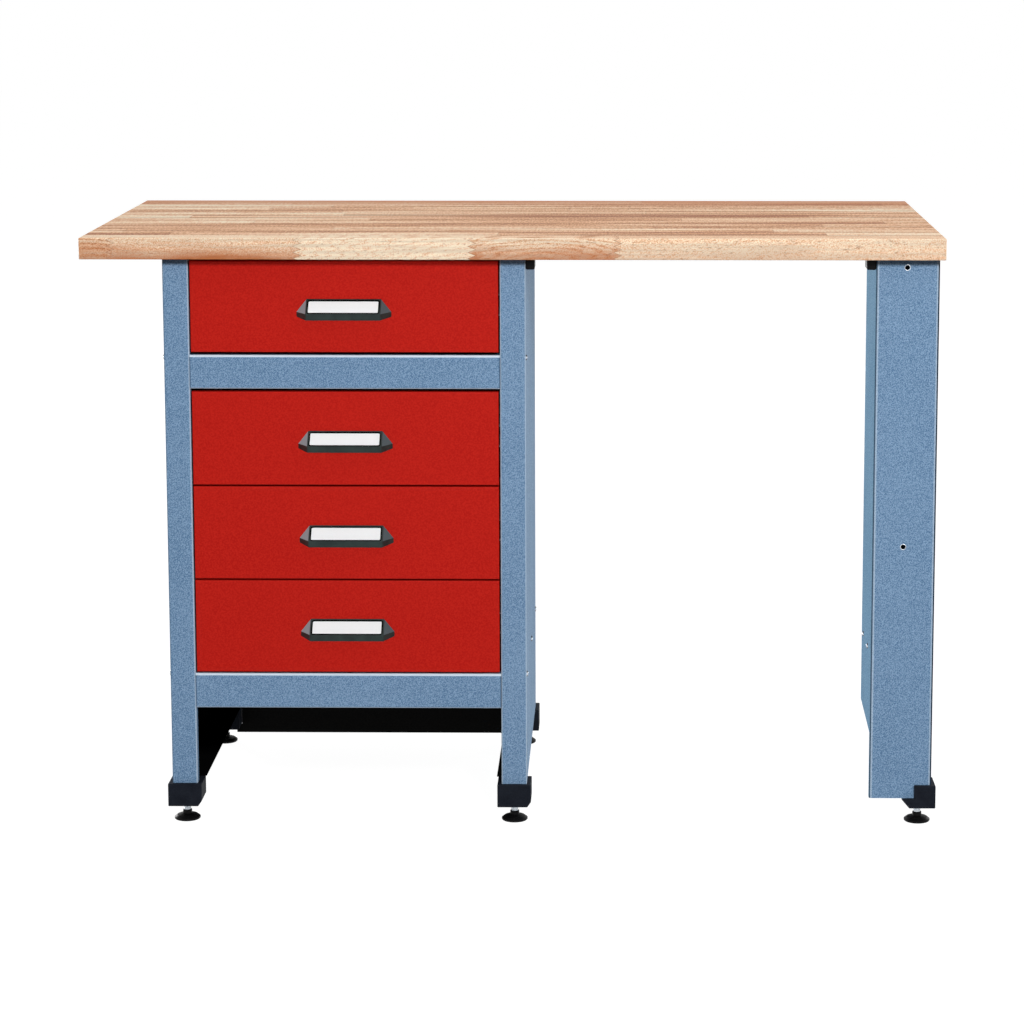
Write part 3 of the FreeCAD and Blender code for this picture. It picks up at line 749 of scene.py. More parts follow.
    def rings(self, art: Sketch, at: dict[str, Socket], wobble: Socket) -> Socket:
        """Gives the thin dark year rings that curve over each length of the front stave.

        Args:
            art: the sketch in work.
            at: zigzag position along the bench and height.
            wobble: cloudy pattern that makes the rings uneven.

        Returns:
            A change of lightness, mostly below nought.
        """
        beside = art.math("SUBTRACT", at["along"], self.edge_value(art, at["along"], "core_x"))
        above = art.math("SUBTRACT", at["z"], self.edge_value(art, at["along"], "core_z"))
        far = self.distance(art, art.math("MULTIPLY", beside, self.ring_stretch), above, self.ring_gap)
        far = art.math("ADD", far, art.sway(wobble, -0.5, 0.5))
        line = art.span(art.math("PINGPONG", far, 0.5), 0.0, 0.3, -0.34, 0.06)
        return art.math("MULTIPLY", line, self.edge_value(art, at["along"], "flame"))

    def make(self) -> bpy.types.Material:
        """Builds the material.

        Returns:
            The finished material.
        """
        art = Sketch(self.look)
        x, y, z = art.parts(art.place())[:3]
        zigzag = art.math("PINGPONG", z, self.finger / 2)
        along = art.math("ADD", x, art.math("MULTIPLY", zigzag, self.finger_reach / self.finger * 2))
        row = art.math("DIVIDE", art.math("SUBTRACT", y, self.front), self.depth / self.staves)
        stave = art.math("FLOOR", row)
        chance = art.node("TexWhiteNoise", {"W": stave}, noise_dimensions="1D").outputs["Value"]
        start = art.math("MULTIPLY", chance, self.first_draw)
        run = art.math("ADD", art.math("DIVIDE", along, self.length), start)
        key = art.node("CombineXYZ", {0: stave, 1: art.math("FLOOR", run), 2: 0.5}).outputs[0]
        luck = art.node("TexWhiteNoise", {"Vector": key}, noise_dimensions="3D").outputs["Value"]
        is_edge = art.math("LESS_THAN", row, 1.0)
        tone = art.span(luck, 0.0, 1.0, *self.stave_tones)
        edge_tone = self.edge_value(art, along, "tone")
        band = (self.front + reach for reach in self.edge_band)
        share = art.math("MULTIPLY", is_edge, art.span(y, *band, 1.0, self.edge_above))
        tone = art.math("ADD", art.math("MULTIPLY", tone, art.math("SUBTRACT", 1.0, share)),
                        art.math("MULTIPLY", edge_tone, share))
        shift = art.node("CombineXYZ", {0: art.math("MULTIPLY", luck, 3.0), 1: luck, 2: luck}).outputs[0]
        facing = art.facing()
        end = art.math("GREATER_THAN", art.math("ABSOLUTE", facing[0]), self.lengthways)
        upper = art.math("GREATER_THAN", facing[2], self.facing)
        rear = art.math("GREATER_THAN", facing[1], self.facing)
        is_edge = art.math("MULTIPLY", is_edge, art.math("SUBTRACT", 1.0, end))
        return self.grain(art, tone, shift, {"row": row, "run": run, "edge": is_edge, "along": along, "z": z,
                                             "luck": luck, "end": end, "upper": upper, "rear": rear})

    def end_grain(self, art: Sketch, tone: Socket, at: dict[str, Socket]) -> Socket:
        """Gives the lightness of the sawn ends, where the year rings cross each stave as arcs.

        Args:
            art: the sketch in work.
            tone: lightness of each stave.
            at: row of staves, height and the chance value of each stave.

        Returns:
            The lightness.
        """
        core_y = art.span(at["luck"], 0.0, 1.0, *self.end_core_y)
        beside = art.math("SUBTRACT", art.math("FRACT", at["row"]), core_y)
        beside = art.math("MULTIPLY", beside, self.depth / self.staves)
        chance = art.math("FRACT", art.math("MULTIPLY", at["luck"], self.second_draw))
        core_z = art.span(chance, 0.0, 1.0, *(self.under + rise for rise in self.end_core_z))
        far = self.distance(art, beside, art.math("SUBTRACT", at["z"], core_z), self.end_ring_gap)
        far = art.math("ADD", far, art.sway(self.blur.pattern(art), -0.4, 0.4))
        value = art.math("ADD", tone, art.span(art.math("PINGPONG", far, 0.5), 0.0, 0.5, -0.17, 0.05))
        return self.pores.over(art, value, self.pores.pattern(art), {})

    def grain(self, art: Sketch, tone: Socket, shift: Socket, at: dict[str, Socket]) -> bpy.types.Material:
        """Draws the streaks and rings over the tone of each stave.

        Args:
            art: the sketch in work.
            tone: lightness of each stave.
            shift: moves the grain of each stave.
            at: row of staves, run along a stave, zigzag position, height, chance value of each stave, and
                the masks of the front stave, the sawn ends, the upper face and the rear edge.

        Returns:
            The finished material.
        """
        side = art.math("SUBTRACT", 1.0, at["end"])
        away = art.math("MULTIPLY", art.math("SUBTRACT", 1.0, at["edge"]), side)
        zones = {Zone.FRONT_STAVE: at["edge"], Zone.OTHER_STAVES: away}
        streak = self.streak.pattern(art, shift)
        fine = self.fine.pattern(art, shift)
        flame = self.flame.pattern(art, shift)
        value = self.long.over(art, tone, self.long.pattern(art), zones)
        value = self.streak.over(art, value, streak, zones)
        for layer in (self.ripple, self.speck, self.slant):
            value = layer.over(art, value, layer.pattern(art, shift), zones)
        value = art.math("ADD", value, art.math("MULTIPLY", self.rings(art, at, flame), at["edge"]))
        value = self.fine.over(art, value, fine, zones)
        sawn = art.math("MULTIPLY", self.end_grain(art, tone, at), at["end"])
        value = art.math("ADD", art.math("MULTIPLY", value, side), sawn)
        value = art.math("ADD", value, art.math("MULTIPLY", at["rear"], self.rear_edge))
        more = {"side": side, "away": away, "streak": streak, "flame": flame}
        colour = self.marks(art, art.ramp(value, self.tones), shift, at | more)
        art.bump(art.math("ADD", streak, art.math("MULTIPLY", fine, 0.6)), 0.10, self.pore_depth)
        rough = art.sway(streak, 0.62, 0.5)
        return art.finish(Base_Color=colour, Roughness=rough, Specular_IOR_Level=0.12)

    def marks(self, art: Sketch, colour: Socket, shift: Socket, at: dict[str, Socket]) -> Socket:
        """Lays heartwood, flecks, dark lines and glued joints over the wood.

        Args:
            art: the sketch in work.
            colour: colour of the wood.
            shift: moves the marks of each stave.
            at: what grain works with, and its patterns and masks.

        Returns:
            The colour with all marks.
        """
        foot = art.math("ADD", at["z"], art.sway(at["flame"], -self.heart_wave, self.heart_wave))
        foot = art.span(foot, self.under + 0.001, self.under + self.heart_rise, 1.0, 0.0)
        heart = art.math("MULTIPLY", self.edge_value(art, at["along"], "heart"), foot)
        heart = art.math("MULTIPLY", art.math("MULTIPLY", heart, self.heart_share), at["edge"])
        colour = art.mix(heart, colour, self.heartwood)
        flecks = art.span(self.dots.pattern(art, shift), *self.fleck_cut, 0.0, self.mark_share)
        colour = art.mix(art.math("MULTIPLY", flecks, at["side"]), colour, self.fleck)
        lines = art.span(self.dark_line.pattern(art, shift), *self.line_cut, 0.0, self.mark_share)
        colour = art.mix(art.math("MULTIPLY", lines, at["away"]), colour, self.glue_line)
        seam = art.math("ABSOLUTE", art.math("SUBTRACT", art.math("FRACT", at["row"]), 0.5))
        worn = art.span(at["streak"], *self.worn_cut, self.worn_share, 1.0)
        seam = art.math("MULTIPLY", art.span(seam, *self.seam_cut, 0.0, self.mark_share), worn)
        butt = art.math("ABSOLUTE", art.math("SUBTRACT", art.math("FRACT", at["run"]), 0.5))
        butt = art.math("MULTIPLY", art.span(butt, *self.butt_cut, 0.0, self.butt_share), at["away"])
        ahead = art.math("LESS_THAN", at["row"], self.joint_depth)
        joint = art.math("MULTIPLY", self.joint_lines(art, at["along"]), ahead)
        colour = art.mix(art.math("MAXIMUM", art.math("MAXIMUM", seam, butt), joint), colour, self.glue_line)
        rows = (self.staves - count for count in self.back_rows)
        back = art.span(at["row"], *rows, 0.0, self.back_share)
        return art.mix(art.math("MULTIPLY", back, at["upper"]), colour, self.back_stave)


@dataclass(frozen=True)
class GripMoulding:
    """Dark plastic of the drawer grips, with a painted reflection on each slanting end.

    Attributes:
        look: which finish it is.
        low: darker tone.
        high: lighter tone.
        left_end_reflection: colour of the painted reflection on the left slanting end.
        right_end_reflection: colour of the painted reflection on the right slanting end.
        middle: where the middle of the grips lies across the bench.
        flat: half of the length between the slanting ends.
        skin: about how many pits lie along a metre.
        cloud: about how many clouds lie along a metre.
    """

    look: Look = Look.GRIP_PLASTIC
    low: Tone = Tone(20, 33, 32)
    high: Tone = Tone(32, 46, 44)
    left_end_reflection: Tone = Tone(140, 152, 157)
    right_end_reflection: Tone = Tone(70, 86, 90)
    middle: float = -0.235
    flat: float = 0.0521
    skin: float = 900.0
    cloud: float = 60.0

    def make(self) -> bpy.types.Material:
        """Builds the material.

        Returns:
            The finished material.
        """
        art = Sketch(self.look)
        where = art.place()
        skin = art.noise(where, self.skin, 2.0, 0.6)
        cloud = art.noise(where, self.cloud, 3.0)
        colour = art.ramp(cloud, ((0.35, self.low), (0.65, self.high)))
        across = art.math("SUBTRACT", art.parts(where)[0], self.middle)
        raised = art.span(art.facing()[2], 0.3, 0.45)
        # Painted reflection on the two slanting ends.
        for side, tone in ((-1.0, self.left_end_reflection), (1.0, self.right_end_reflection)):
            beyond = art.span(art.math("MULTIPLY", across, side), self.flat, self.flat + 0.0006)
            colour = art.mix(art.math("MULTIPLY", beyond, raised), colour, tone)
        art.bump(skin, 0.08, 0.0004)
        rough = art.sway(cloud, 0.3, 0.4)
        return art.finish(Base_Color=colour, Roughness=rough, Specular_IOR_Level=0.25)


class Paintbox:
    """Makes each finish once and hands it out by name."""

    def __init__(self) -> None:
        """Builds every finish of the bench."""
        finishes = (*self.blues(), *self.others())
        self.made = {finish.look: finish.make() for finish in finishes}

    def blues(self) -> list[HammeredPaint]:
        """Gives the blue coats of the frame, with painted highlight and shade lines along the edges of its
        sheets and painted shade on their inner sides.

        Returns:
            One coat for each kind of blue sheet.
        """
        blue = (Tone(85, 117, 150), Tone(134, 163, 193))
        sheet = 0.0008
        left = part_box("left_side_panel")[0][0]
        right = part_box("centre_side_panel")[1][0]
        lip = FRONT + 0.0165
        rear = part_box("left_side_panel")[1][1] - sheet
        opening = (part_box("middle_rail")[0][0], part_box("middle_rail")[1][0])
        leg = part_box("leg_cover")
        # Painted shade where the rails meet the posts.
        rails = [EdgeLightLine(0, end, 0.0015, 0.55, Tone(60, 82, 108)) for end in opening]
        # Painted highlights along the upper and lower edges of each rail.
        for rail in ("middle_rail", "bottom_rail"):
            low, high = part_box(rail)
            rails += [EdgeLightLine(2, high[2], 0.0028, 0.85), EdgeLightLine(2, low[2], 0.0015, 0.5)]
        # Painted shadow of the worktop along the top of the sheets below it.
        worktop_shadow_line = EdgeLightLine(2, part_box("worktop")[0][2], 0.0075, 0.65, Tone(18, 22, 30))
        # Painted shade in the narrow gap along the front edge of the leg panel.
        seam = EdgeLightLine(0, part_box("leg_side_panel")[1][0], 0.0026, 0.9, Tone(22, 32, 48))
        # On the leg's plate: painted highlights along both edges, painted shade along its left edge, and the
        # worktop's painted shadow.
        plate = (EdgeLightLine(0, leg[1][0], 0.0018, 0.35), EdgeLightLine(0, leg[0][0] + 0.0028, 0.0012, 0.35),
                 EdgeLightLine(0, leg[0][0], 0.0017, 0.75, Tone(46, 62, 80)), worktop_shadow_line)
        # On the posts: painted highlights along the inner edges, and along the centre panel's right edge,
        # with the worktop's painted shadow.
        left_edge_lights = (EdgeLightLine(0, opening[0], 0.0017, 0.42), worktop_shadow_line)
        centre_edge_lights = (EdgeLightLine(0, opening[1], 0.0017, 0.42), EdgeLightLine(0, right, 0.0012, 0.35), worktop_shadow_line)
        return [
            HammeredPaint(Look.BLUE, *blue),
            HammeredPaint(Look.BLUE_RAILS, *blue, edge_lights=tuple(rails)),
            HammeredPaint(Look.BLUE_LEG_COVER, *blue, edge_lights=plate,
                          # Painted light on the leg cover's side face.
                          side_lit_tones=(Tone(90, 126, 155), Tone(141, 174, 198))),
            HammeredPaint(Look.BLUE_LEG_PANEL, *blue, edge_lights=(seam,)),
            # Painted shade on the inner side of the left panel.
            HammeredPaint(Look.BLUE_LEFT_PANEL, *blue, inside=InnerShade(left + sheet, 1, lip, rear),
                          edge_lights=left_edge_lights),
            HammeredPaint(Look.BLUE_CENTRE_PANEL, *blue, gloss=0.18, edge_lights=centre_edge_lights,
                          # Painted shade on the inner side of the centre panel.
                          inside=InnerShade(right - sheet, -1, lip, rear),
                          # Painted light on the centre panel's outer side face.
                          side_lit_tones=(Tone(89, 118, 147), Tone(139, 165, 189))),
        ]

    def others(self) -> list[Any]:
        """Gives all finishes but the blue coats.

        Returns:
            The wood, the other paints, plastics, zinc and card.
        """
        return [
            BeechBoard(),
            HammeredPaint(Look.RED, Tone(174, 20, 11), Tone(187, 29, 18), 420.0, 0.5, 0.10, 0.1),
            HammeredPaint(Look.GREY_INSIDE, Tone(92, 98, 104), Tone(112, 118, 124), 420.0, 0.5, 0.08),
            # Near-black coat of the back panel and cabinet floor: painted shade for the dark space behind
            # and under the cabinet.
            HammeredPaint(Look.BLACK_SHEET, Tone(3, 3, 3), Tone(9, 9, 8), 420.0, 0.6, 0.08, 0.05),
            MouldedPlastic(Look.CAP_PLASTIC, Tone(17, 20, 28), Tone(31, 35, 43), 0.6, 0.12, 0.05),
            MouldedPlastic(Look.PAD_PLASTIC, Tone(4, 4, 5), Tone(11, 11, 12), 0.5, 0.08, 0.1),
            GripMoulding(),
            MouldedPlastic(Look.LABEL_SURROUND, Tone(2, 3, 3), Tone(5, 6, 6), 0.7, 0.06, 0.02),
            MouldedPlastic(Look.NYLON, Tone(206, 204, 194), Tone(226, 224, 214), 0.5, 0.06),
            ZincPlate(Look.ZINC, Tone(196, 202, 208), Tone(240, 244, 248)),
            # The screws' zinc carries painted shade on the top and bottom of each head.
            ZincPlate(Look.DULL_ZINC, Tone(180, 186, 192), Tone(226, 230, 235), 0.3, Tone(22, 24, 28)),
            PaperCard(Look.CARD, Tone(228, 234, 235), Tone(235, 240, 241)),
        ]

    def put(self, obj: Piece, look: Look) -> None:
        """Gives a piece a finish in place of all its materials."""
        obj.data.materials.clear()
        obj.data.materials.append(self.made[look])


# Modelling by hand
def deselect() -> None:
    """Leaves edit mode and selects nothing."""
    if bpy.context.object and bpy.context.object.mode != "OBJECT":
        bpy.ops.object.mode_set(mode="OBJECT")
    bpy.ops.object.select_all(action="DESELECT")


def choose(obj: Piece) -> None:
    """Selects one piece alone and makes it the active one.

    Args:
        obj: the piece.
    """
    deselect()
    obj.select_set(True)
    bpy.context.view_layer.objects.active = obj


def settle(obj: Piece, name: str) -> Piece:
    """Names a piece and puts its place, turn and scale into its mesh.

    Args:
        obj: the piece.
        name: its name and the name of its mesh.

    Returns:
        The same piece.
    """
    choose(obj)
    bpy.ops.object.transform_apply(location=True, rotation=True, scale=True)
    obj.name = name
    obj.data.name = name
    return obj


def soften(obj: Piece, width: float, segments: int = 2, angle: float = 35.0) -> None:
    """Rounds the sharp edges of a piece with an applied bevel and shades it smooth.

    Args:
        obj: the piece.
        width: width of the bevel.
        segments: steps across it.
        angle: angle in degrees above which an edge is sharp.
    """
    choose(obj)
    bevel = obj.modifiers.new("soft_edges", "BEVEL")
    bevel.width = width
    bevel.segments = segments
    bevel.limit_method = "ANGLE"
    bevel.angle_limit = math.radians(angle)
    bpy.ops.object.modifier_apply(modifier=bevel.name)
    bpy.ops.object.shade_smooth_by_angle(angle=math.radians(angle))


def pick_faces(obj: Piece, wanted: Callable[[bmesh.types.BMFace], bool]) -> None:
    """Selects, in edit mode, the faces that a test accepts.

    Args:
        obj: the piece.
        wanted: the test, which takes a face.
    """
    bpy.ops.mesh.select_mode(type="FACE")
    bpy.ops.mesh.select_all(action="DESELECT")
    mesh = bmesh.from_edit_mesh(obj.data)
    for face in mesh.faces:
        face.select_set(bool(wanted(face)))
    bmesh.update_edit_mesh(obj.data)


def twin(obj: Piece, name: str, move: Vector) -> Piece:
    """Copies a piece with a mesh of its own, moved in that mesh.

    Args:
        obj: the piece to copy.
        name: name of the copy.
        move: how far the copy moves.

    Returns:
        The copy.
    """
    choose(obj)
    bpy.ops.object.duplicate(linked=False)
    copy = bpy.context.view_layer.objects.active
    copy.location = move
    return settle(copy, name)


def middle(node: str) -> Vector:
    """Gives the centre of a CAD node's box."""
    low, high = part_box(node)
    return (Vector(low) + Vector(high)) / 2


# Sub-assemblies
@dataclass
class Worktop:
    """The beech board."""

    node: str = "worktop"

    def dress(self, paints: Paintbox) -> None:
        """Gives the board its wood."""
        paints.put(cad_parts[self.node], Look.BEECH)
        log.info("worktop dressed")


@dataclass
class SteelFrame:
    """Side panels, leg, rails, back, floor, runners and caps, with hole rims and a dark clip piece under
    each end of the worktop; back, floor and clip pieces are near-black as painted shade.

    Attributes:
        body: the body that the frame belongs to.
        looks: finishes of the CAD nodes.
        cap: how the names of the foot caps begin.
        hole_spots: places of the two holes in the leg's front plate, across and up.
        hole_radius: radius of these holes.
        rim_width: width of the rim round a hole.
        rim_height: how far a rim stands out.
        rim_steps: sides of a rim.
        rim_soft: share of its height by which a rim's edges are rounded.
        clip_size: width, depth and height of a clip.
        clip_back: how far a clip stands behind the front plane.
        clip_round: radius of its two lower edges.
        clip_wall: thickness of its wall.
        clip_soft: bevel of its other edges.
        rims: the modelled rims.
        shade_clips: the modelled clip pieces, also painted shade under the worktop.
    """

    body: str = "bench"
    looks: tuple[tuple[Look, tuple[str, ...]], ...] = (
        (Look.BLUE_LEFT_PANEL, ("left_side_panel",)),
        (Look.BLUE_CENTRE_PANEL, ("centre_side_panel",)),
        (Look.BLUE_LEG_PANEL, ("leg_side_panel",)),
        (Look.BLUE_LEG_COVER, ("leg_cover",)),
        (Look.BLUE, ("leg_brace",)),
        (Look.BLUE_RAILS, ("middle_rail", "bottom_rail")),
        (Look.NYLON, ("runner_glides",)),
        (Look.DULL_ZINC, ("frame_screws",)),
        # The back panel and cabinet floor take the near-black painted shade.
        (Look.BLACK_SHEET, ("cabinet_floor", "back_panel")),
        (Look.ZINC, ("foot_nuts", "runners_1", "runners_2", "runners_3", "runners_4")),
    )
    cap: str = "foot_cap_"
    hole_spots: tuple[tuple[float, float], ...] = ((0.5485, 0.798), (0.5485, 0.403))
    hole_radius: float = 0.0035
    rim_width: float = 0.0008
    rim_height: float = 0.0004
    rim_steps: int = 40
    rim_soft: float = 0.4
    clip_size: tuple[float, float, float] = (0.0132, 0.0300, 0.0160)
    clip_back: float = 0.003
    clip_round: float = 0.003
    clip_wall: float = 0.002
    clip_soft: float = 0.0005
    rims: list[Piece] = field(default_factory=list)
    shade_clips: list[Piece] = field(default_factory=list)

    def build(self) -> None:
        """Models the small pieces that the frame carries."""
        self.build_rims()
        self.build_shade_clips()

    def build_shade_clips(self) -> None:
        """Models one hollow clip under the worktop, beside the cabinet, and copies it to the leg;
        near-black, the two clip pieces also stand in for the shade under the worktop.
        """
        deselect()
        wide, deep, tall = self.clip_size
        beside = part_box("centre_side_panel")[1][0]
        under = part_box("worktop")[0][2]
        spot = (beside + wide / 2, FRONT + self.clip_back + deep / 2, under - tall / 2)
        bpy.ops.mesh.primitive_cube_add(size=1.0, location=spot, scale=self.clip_size)
        clip = settle(bpy.context.object, "worktop_clip_cabinet")
        bpy.ops.object.mode_set(mode="EDIT")
        bpy.ops.mesh.select_mode(type="EDGE")
        bpy.ops.mesh.select_all(action="DESELECT")
        block = bmesh.from_edit_mesh(clip.data)
        for edge in block.edges:
            along = abs(edge.verts[0].co.y - edge.verts[1].co.y) > deep / 2
            edge.select_set(along and edge.verts[0].co.z < spot[2])
        bmesh.update_edit_mesh(clip.data)
        bpy.ops.mesh.bevel(offset=self.clip_round, segments=4)
        pick_faces(clip, lambda face: face.normal.z < -0.99)
        bpy.ops.mesh.inset(thickness=self.clip_wall)
        bpy.ops.transform.translate(value=(0, 0, tall / 2))
        bpy.ops.object.mode_set(mode="OBJECT")
        soften(clip, self.clip_soft)
        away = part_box("leg_cover")[0][0] - wide - beside
        self.shade_clips = [clip, twin(clip, "worktop_clip_leg", Vector((away, 0, 0)))]

    def build_rims(self) -> None:
        """Models one rolled rim and copies it to the other hole."""
        deselect()
        x, z = self.hole_spots[0]
        spot = (x, FRONT - self.rim_height / 2, z)
        outer = self.hole_radius + self.rim_width
        bpy.ops.mesh.primitive_cylinder_add(vertices=self.rim_steps, radius=outer, depth=self.rim_height,
                                            location=spot, rotation=(math.radians(90), 0, 0))
        rim = settle(bpy.context.object, "hole_rim_upper")
        bpy.ops.object.mode_set(mode="EDIT")
        pick_faces(rim, lambda face: len(face.verts) > 4)
        bpy.ops.mesh.inset(thickness=self.rim_width, use_individual=True)
        bpy.ops.mesh.bridge_edge_loops()
        bpy.ops.object.mode_set(mode="OBJECT")
        soften(rim, self.rim_height * self.rim_soft)
        x2, z2 = self.hole_spots[1]
        self.rims = [rim, twin(rim, "hole_rim_lower", Vector((x2 - x, 0, z2 - z)))]

    def dress(self, paints: Paintbox) -> None:
        """Paints the frame and lets the rims and the clip pieces ride on it.

        Args:
            paints: the finishes.
        """
        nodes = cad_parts
        for look, names in self.looks:
            for name in names:
                paints.put(nodes[name], look)
        for name in nodes:
            if name.startswith(self.cap):
                paints.put(nodes[name], Look.CAP_PLASTIC)
        for rim in self.rims:
            paints.put(rim, Look.ZINC)
            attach(rim, self.body)
        # The near-black clip pieces are painted shade under the worktop.
        for clip in self.shade_clips:
            paints.put(clip, Look.PAD_PLASTIC)
            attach(clip, self.body)
        log.info("frame dressed, %d hole rims, %d clips", len(self.rims), len(self.shade_clips))


@dataclass
class Drawer:
    """One drawer: painted front, box, grip with its label.

    Attributes:
        number: 1 for the top drawer, then downwards.
        slope_turn: slope of the grip's face in degrees.
        frame_size: length and height of the label frame.
        frame_width: width of its bars.
        frame_height: how far it stands out.
        frame_soft: share of that by which its edges are rounded.
        frame_down: distance of its middle from the grip's upper edge, along the slope.
        corner: radius of its outer corners.
        looks: finishes of the drawer's CAD nodes.
        label_frame: the modelled frame.
    """

    number: int
    slope_turn: float = 43.53
    frame_size: tuple[float, float] = (0.1011, 0.0250)
    frame_width: float = 0.0019
    frame_height: float = 0.0005
    frame_soft: float = 0.35
    frame_down: float = 0.0147
    corner: float = 0.0034
    looks: tuple[tuple[Look, tuple[str, ...]], ...] = (
        (Look.RED, ("front",)),
        (Look.GREY_INSIDE, ("box",)),
        (Look.GRIP_PLASTIC, ("handle",)),
        (Look.CARD, ("label",)),
        (Look.ZINC, ("handle_screws",)),
        (Look.NYLON, ("glides",)),
    )
    label_frame: Piece | None = None

    def node(self, part: str) -> str:
        """Gives the name of a CAD node of this drawer."""
        return "drawer_%d_%s" % (self.number, part)

    def build(self) -> Piece:
        """Models the raised frame round the label out of a flat sheet with rounded corners.

        Returns:
            The frame, in its place on the slope of this drawer's grip.
        """
        deselect()
        bpy.ops.mesh.primitive_plane_add(size=1.0, location=(0, 0, 0))
        ring = bpy.context.object
        bpy.ops.object.mode_set(mode="EDIT")
        bpy.ops.mesh.select_all(action="SELECT")
        bpy.ops.transform.resize(value=(*self.frame_size, 1.0))
        bpy.ops.mesh.bevel(offset=self.corner, segments=6, affect="VERTICES")
        pick_faces(ring, lambda face: True)
        bpy.ops.mesh.inset(thickness=self.frame_width)
        pick_faces(ring, lambda face: len(face.verts) > 4)
        bpy.ops.mesh.delete(type="FACE")
        bpy.ops.object.mode_set(mode="OBJECT")
        thick = ring.modifiers.new("thick", "SOLIDIFY")
        thick.thickness = self.frame_height
        thick.offset = 1.0
        bpy.ops.object.modifier_apply(modifier=thick.name)
        soften(ring, self.frame_height * self.frame_soft)
        low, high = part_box(self.node("handle"))
        turn = math.radians(self.slope_turn)
        ring.location = ((low[0] + high[0]) / 2, high[1] - self.frame_down * math.cos(turn),
                         high[2] - self.frame_down * math.sin(turn))
        ring.rotation_euler = (turn, 0, 0)
        self.label_frame = settle(ring, self.node("label_frame"))
        return self.label_frame

    def copy_frame(self, other: "Drawer") -> None:
        """Copies the label frame of another drawer to this one's grip."""
        rise = middle(self.node("handle")) - middle(other.node("handle"))
        self.label_frame = twin(other.label_frame, self.node("label_frame"), rise)

    def dress(self, paints: Paintbox) -> None:
        """Gives every piece of the drawer its finish and lets the label frame ride on it.

        The grip throws no shadow on the front, as in the photograph.

        Args:
            paints: the finishes.
        """
        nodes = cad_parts
        for look, parts in self.looks:
            for part in parts:
                paints.put(nodes[self.node(part)], look)
        paints.put(self.label_frame, Look.LABEL_SURROUND)
        for piece in (nodes[self.node("handle")], nodes[self.node("label")], self.label_frame):
            piece.visible_shadow = False
        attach(self.label_frame, "drawer_%d" % self.number)
        log.info("drawer %d dressed", self.number)


@dataclass
class LevellingFoot:
    """Pad and threaded stud of one screw foot.

    Attributes:
        name: post that the foot stands under.
        crest: outer radius of the thread.
        root: inner radius of the thread.
        pitch: rise of the thread in one turn.
        tooth: shares of the pitch at which a tooth starts, has its crest and ends.
        steps: steps of the sweep in one turn.
        weld: distance under which points become one.
        smooth: angle in degrees under which faces are shaded as one.
        stud: the modelled stud.
    """

    name: str
    crest: float = 0.0050
    root: float = 0.0044
    pitch: float = 0.0015
    tooth: tuple[float, float, float, float] = (0.0, 0.30, 0.70, 1.0)
    steps: int = 28
    weld: float = 0.00001
    smooth: float = 25.0
    stud: Piece | None = None

    def node(self) -> str:
        """Gives the name of the CAD node of the stud."""
        return "foot_stud_" + self.name

    def build(self) -> None:
        """Models the stud as one tooth that is swept up a helix and closed at both ends."""
        low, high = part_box(self.node())
        heart = middle(self.node())
        deselect()
        bpy.ops.mesh.primitive_plane_add(size=1.0, location=(0, 0, 0))
        stud = bpy.context.object
        bpy.ops.object.mode_set(mode="EDIT")
        bpy.ops.mesh.delete(type="ONLY_FACE")
        tooth = bmesh.from_edit_mesh(stud.data)
        corners = sorted(
            tooth.verts, key=lambda vert: (vert.co.y, vert.co.x if vert.co.y < 0 else -vert.co.x))
        reaches = (self.root, self.crest, self.crest, self.root)
        for vert, reach, share in zip(corners, reaches, self.tooth):
            vert.co = (reach, 0.0, share * self.pitch)
        closing = [edge for edge in tooth.edges if corners[0] in edge.verts and corners[3] in edge.verts]
        for edge in closing:
            edge.select_set(True)
        bmesh.update_edit_mesh(stud.data)
        bpy.ops.mesh.select_mode(type="EDGE")
        bpy.ops.mesh.delete(type="EDGE")
        bpy.ops.object.mode_set(mode="OBJECT")
        sweep = stud.modifiers.new("thread", "SCREW")
        sweep.axis = "Z"
        sweep.screw_offset = self.pitch
        sweep.iterations = int((high[2] - low[2]) / self.pitch) - 1
        sweep.steps = self.steps
        sweep.render_steps = self.steps
        sweep.use_merge_vertices = True
        sweep.merge_threshold = self.weld
        bpy.ops.object.modifier_apply(modifier=sweep.name)
        bpy.ops.object.mode_set(mode="EDIT")
        bpy.ops.mesh.select_mode(type="VERT")
        bpy.ops.mesh.select_all(action="SELECT")
        bpy.ops.mesh.remove_doubles(threshold=self.weld)
        bpy.ops.mesh.select_all(action="DESELECT")
        bpy.ops.mesh.select_non_manifold()
        bpy.ops.mesh.fill()
        bpy.ops.mesh.select_all(action="SELECT")
        bpy.ops.mesh.normals_make_consistent(inside=False)
        bpy.ops.object.mode_set(mode="OBJECT")
        bpy.ops.object.shade_smooth_by_angle(angle=math.radians(self.smooth))
        stud.location = (heart.x, heart.y, low[2])
        self.stud = settle(stud, "threaded_stud_" + self.name)

    def copy_stud(self, other: "LevellingFoot") -> None:
        """Copies the stud of another foot to this one."""
        move = middle(self.node()) - middle(other.node())
        self.stud = twin(other.stud, "threaded_stud_" + self.name, move)

    def dress(self, paints: Paintbox) -> None:
        """Gives the pad its plastic and the stud its zinc, and puts the stud in place of the plain one.

        Args:
            paints: the finishes.
        """
        paints.put(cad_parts["foot_pad_" + self.name], Look.PAD_PLASTIC)
        paints.put(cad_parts[self.node()], Look.ZINC)
        paints.put(self.stud, Look.ZINC)
        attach(self.stud, "foot_" + self.name)
        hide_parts(self.node())
        log.info("foot %s dressed", self.name)


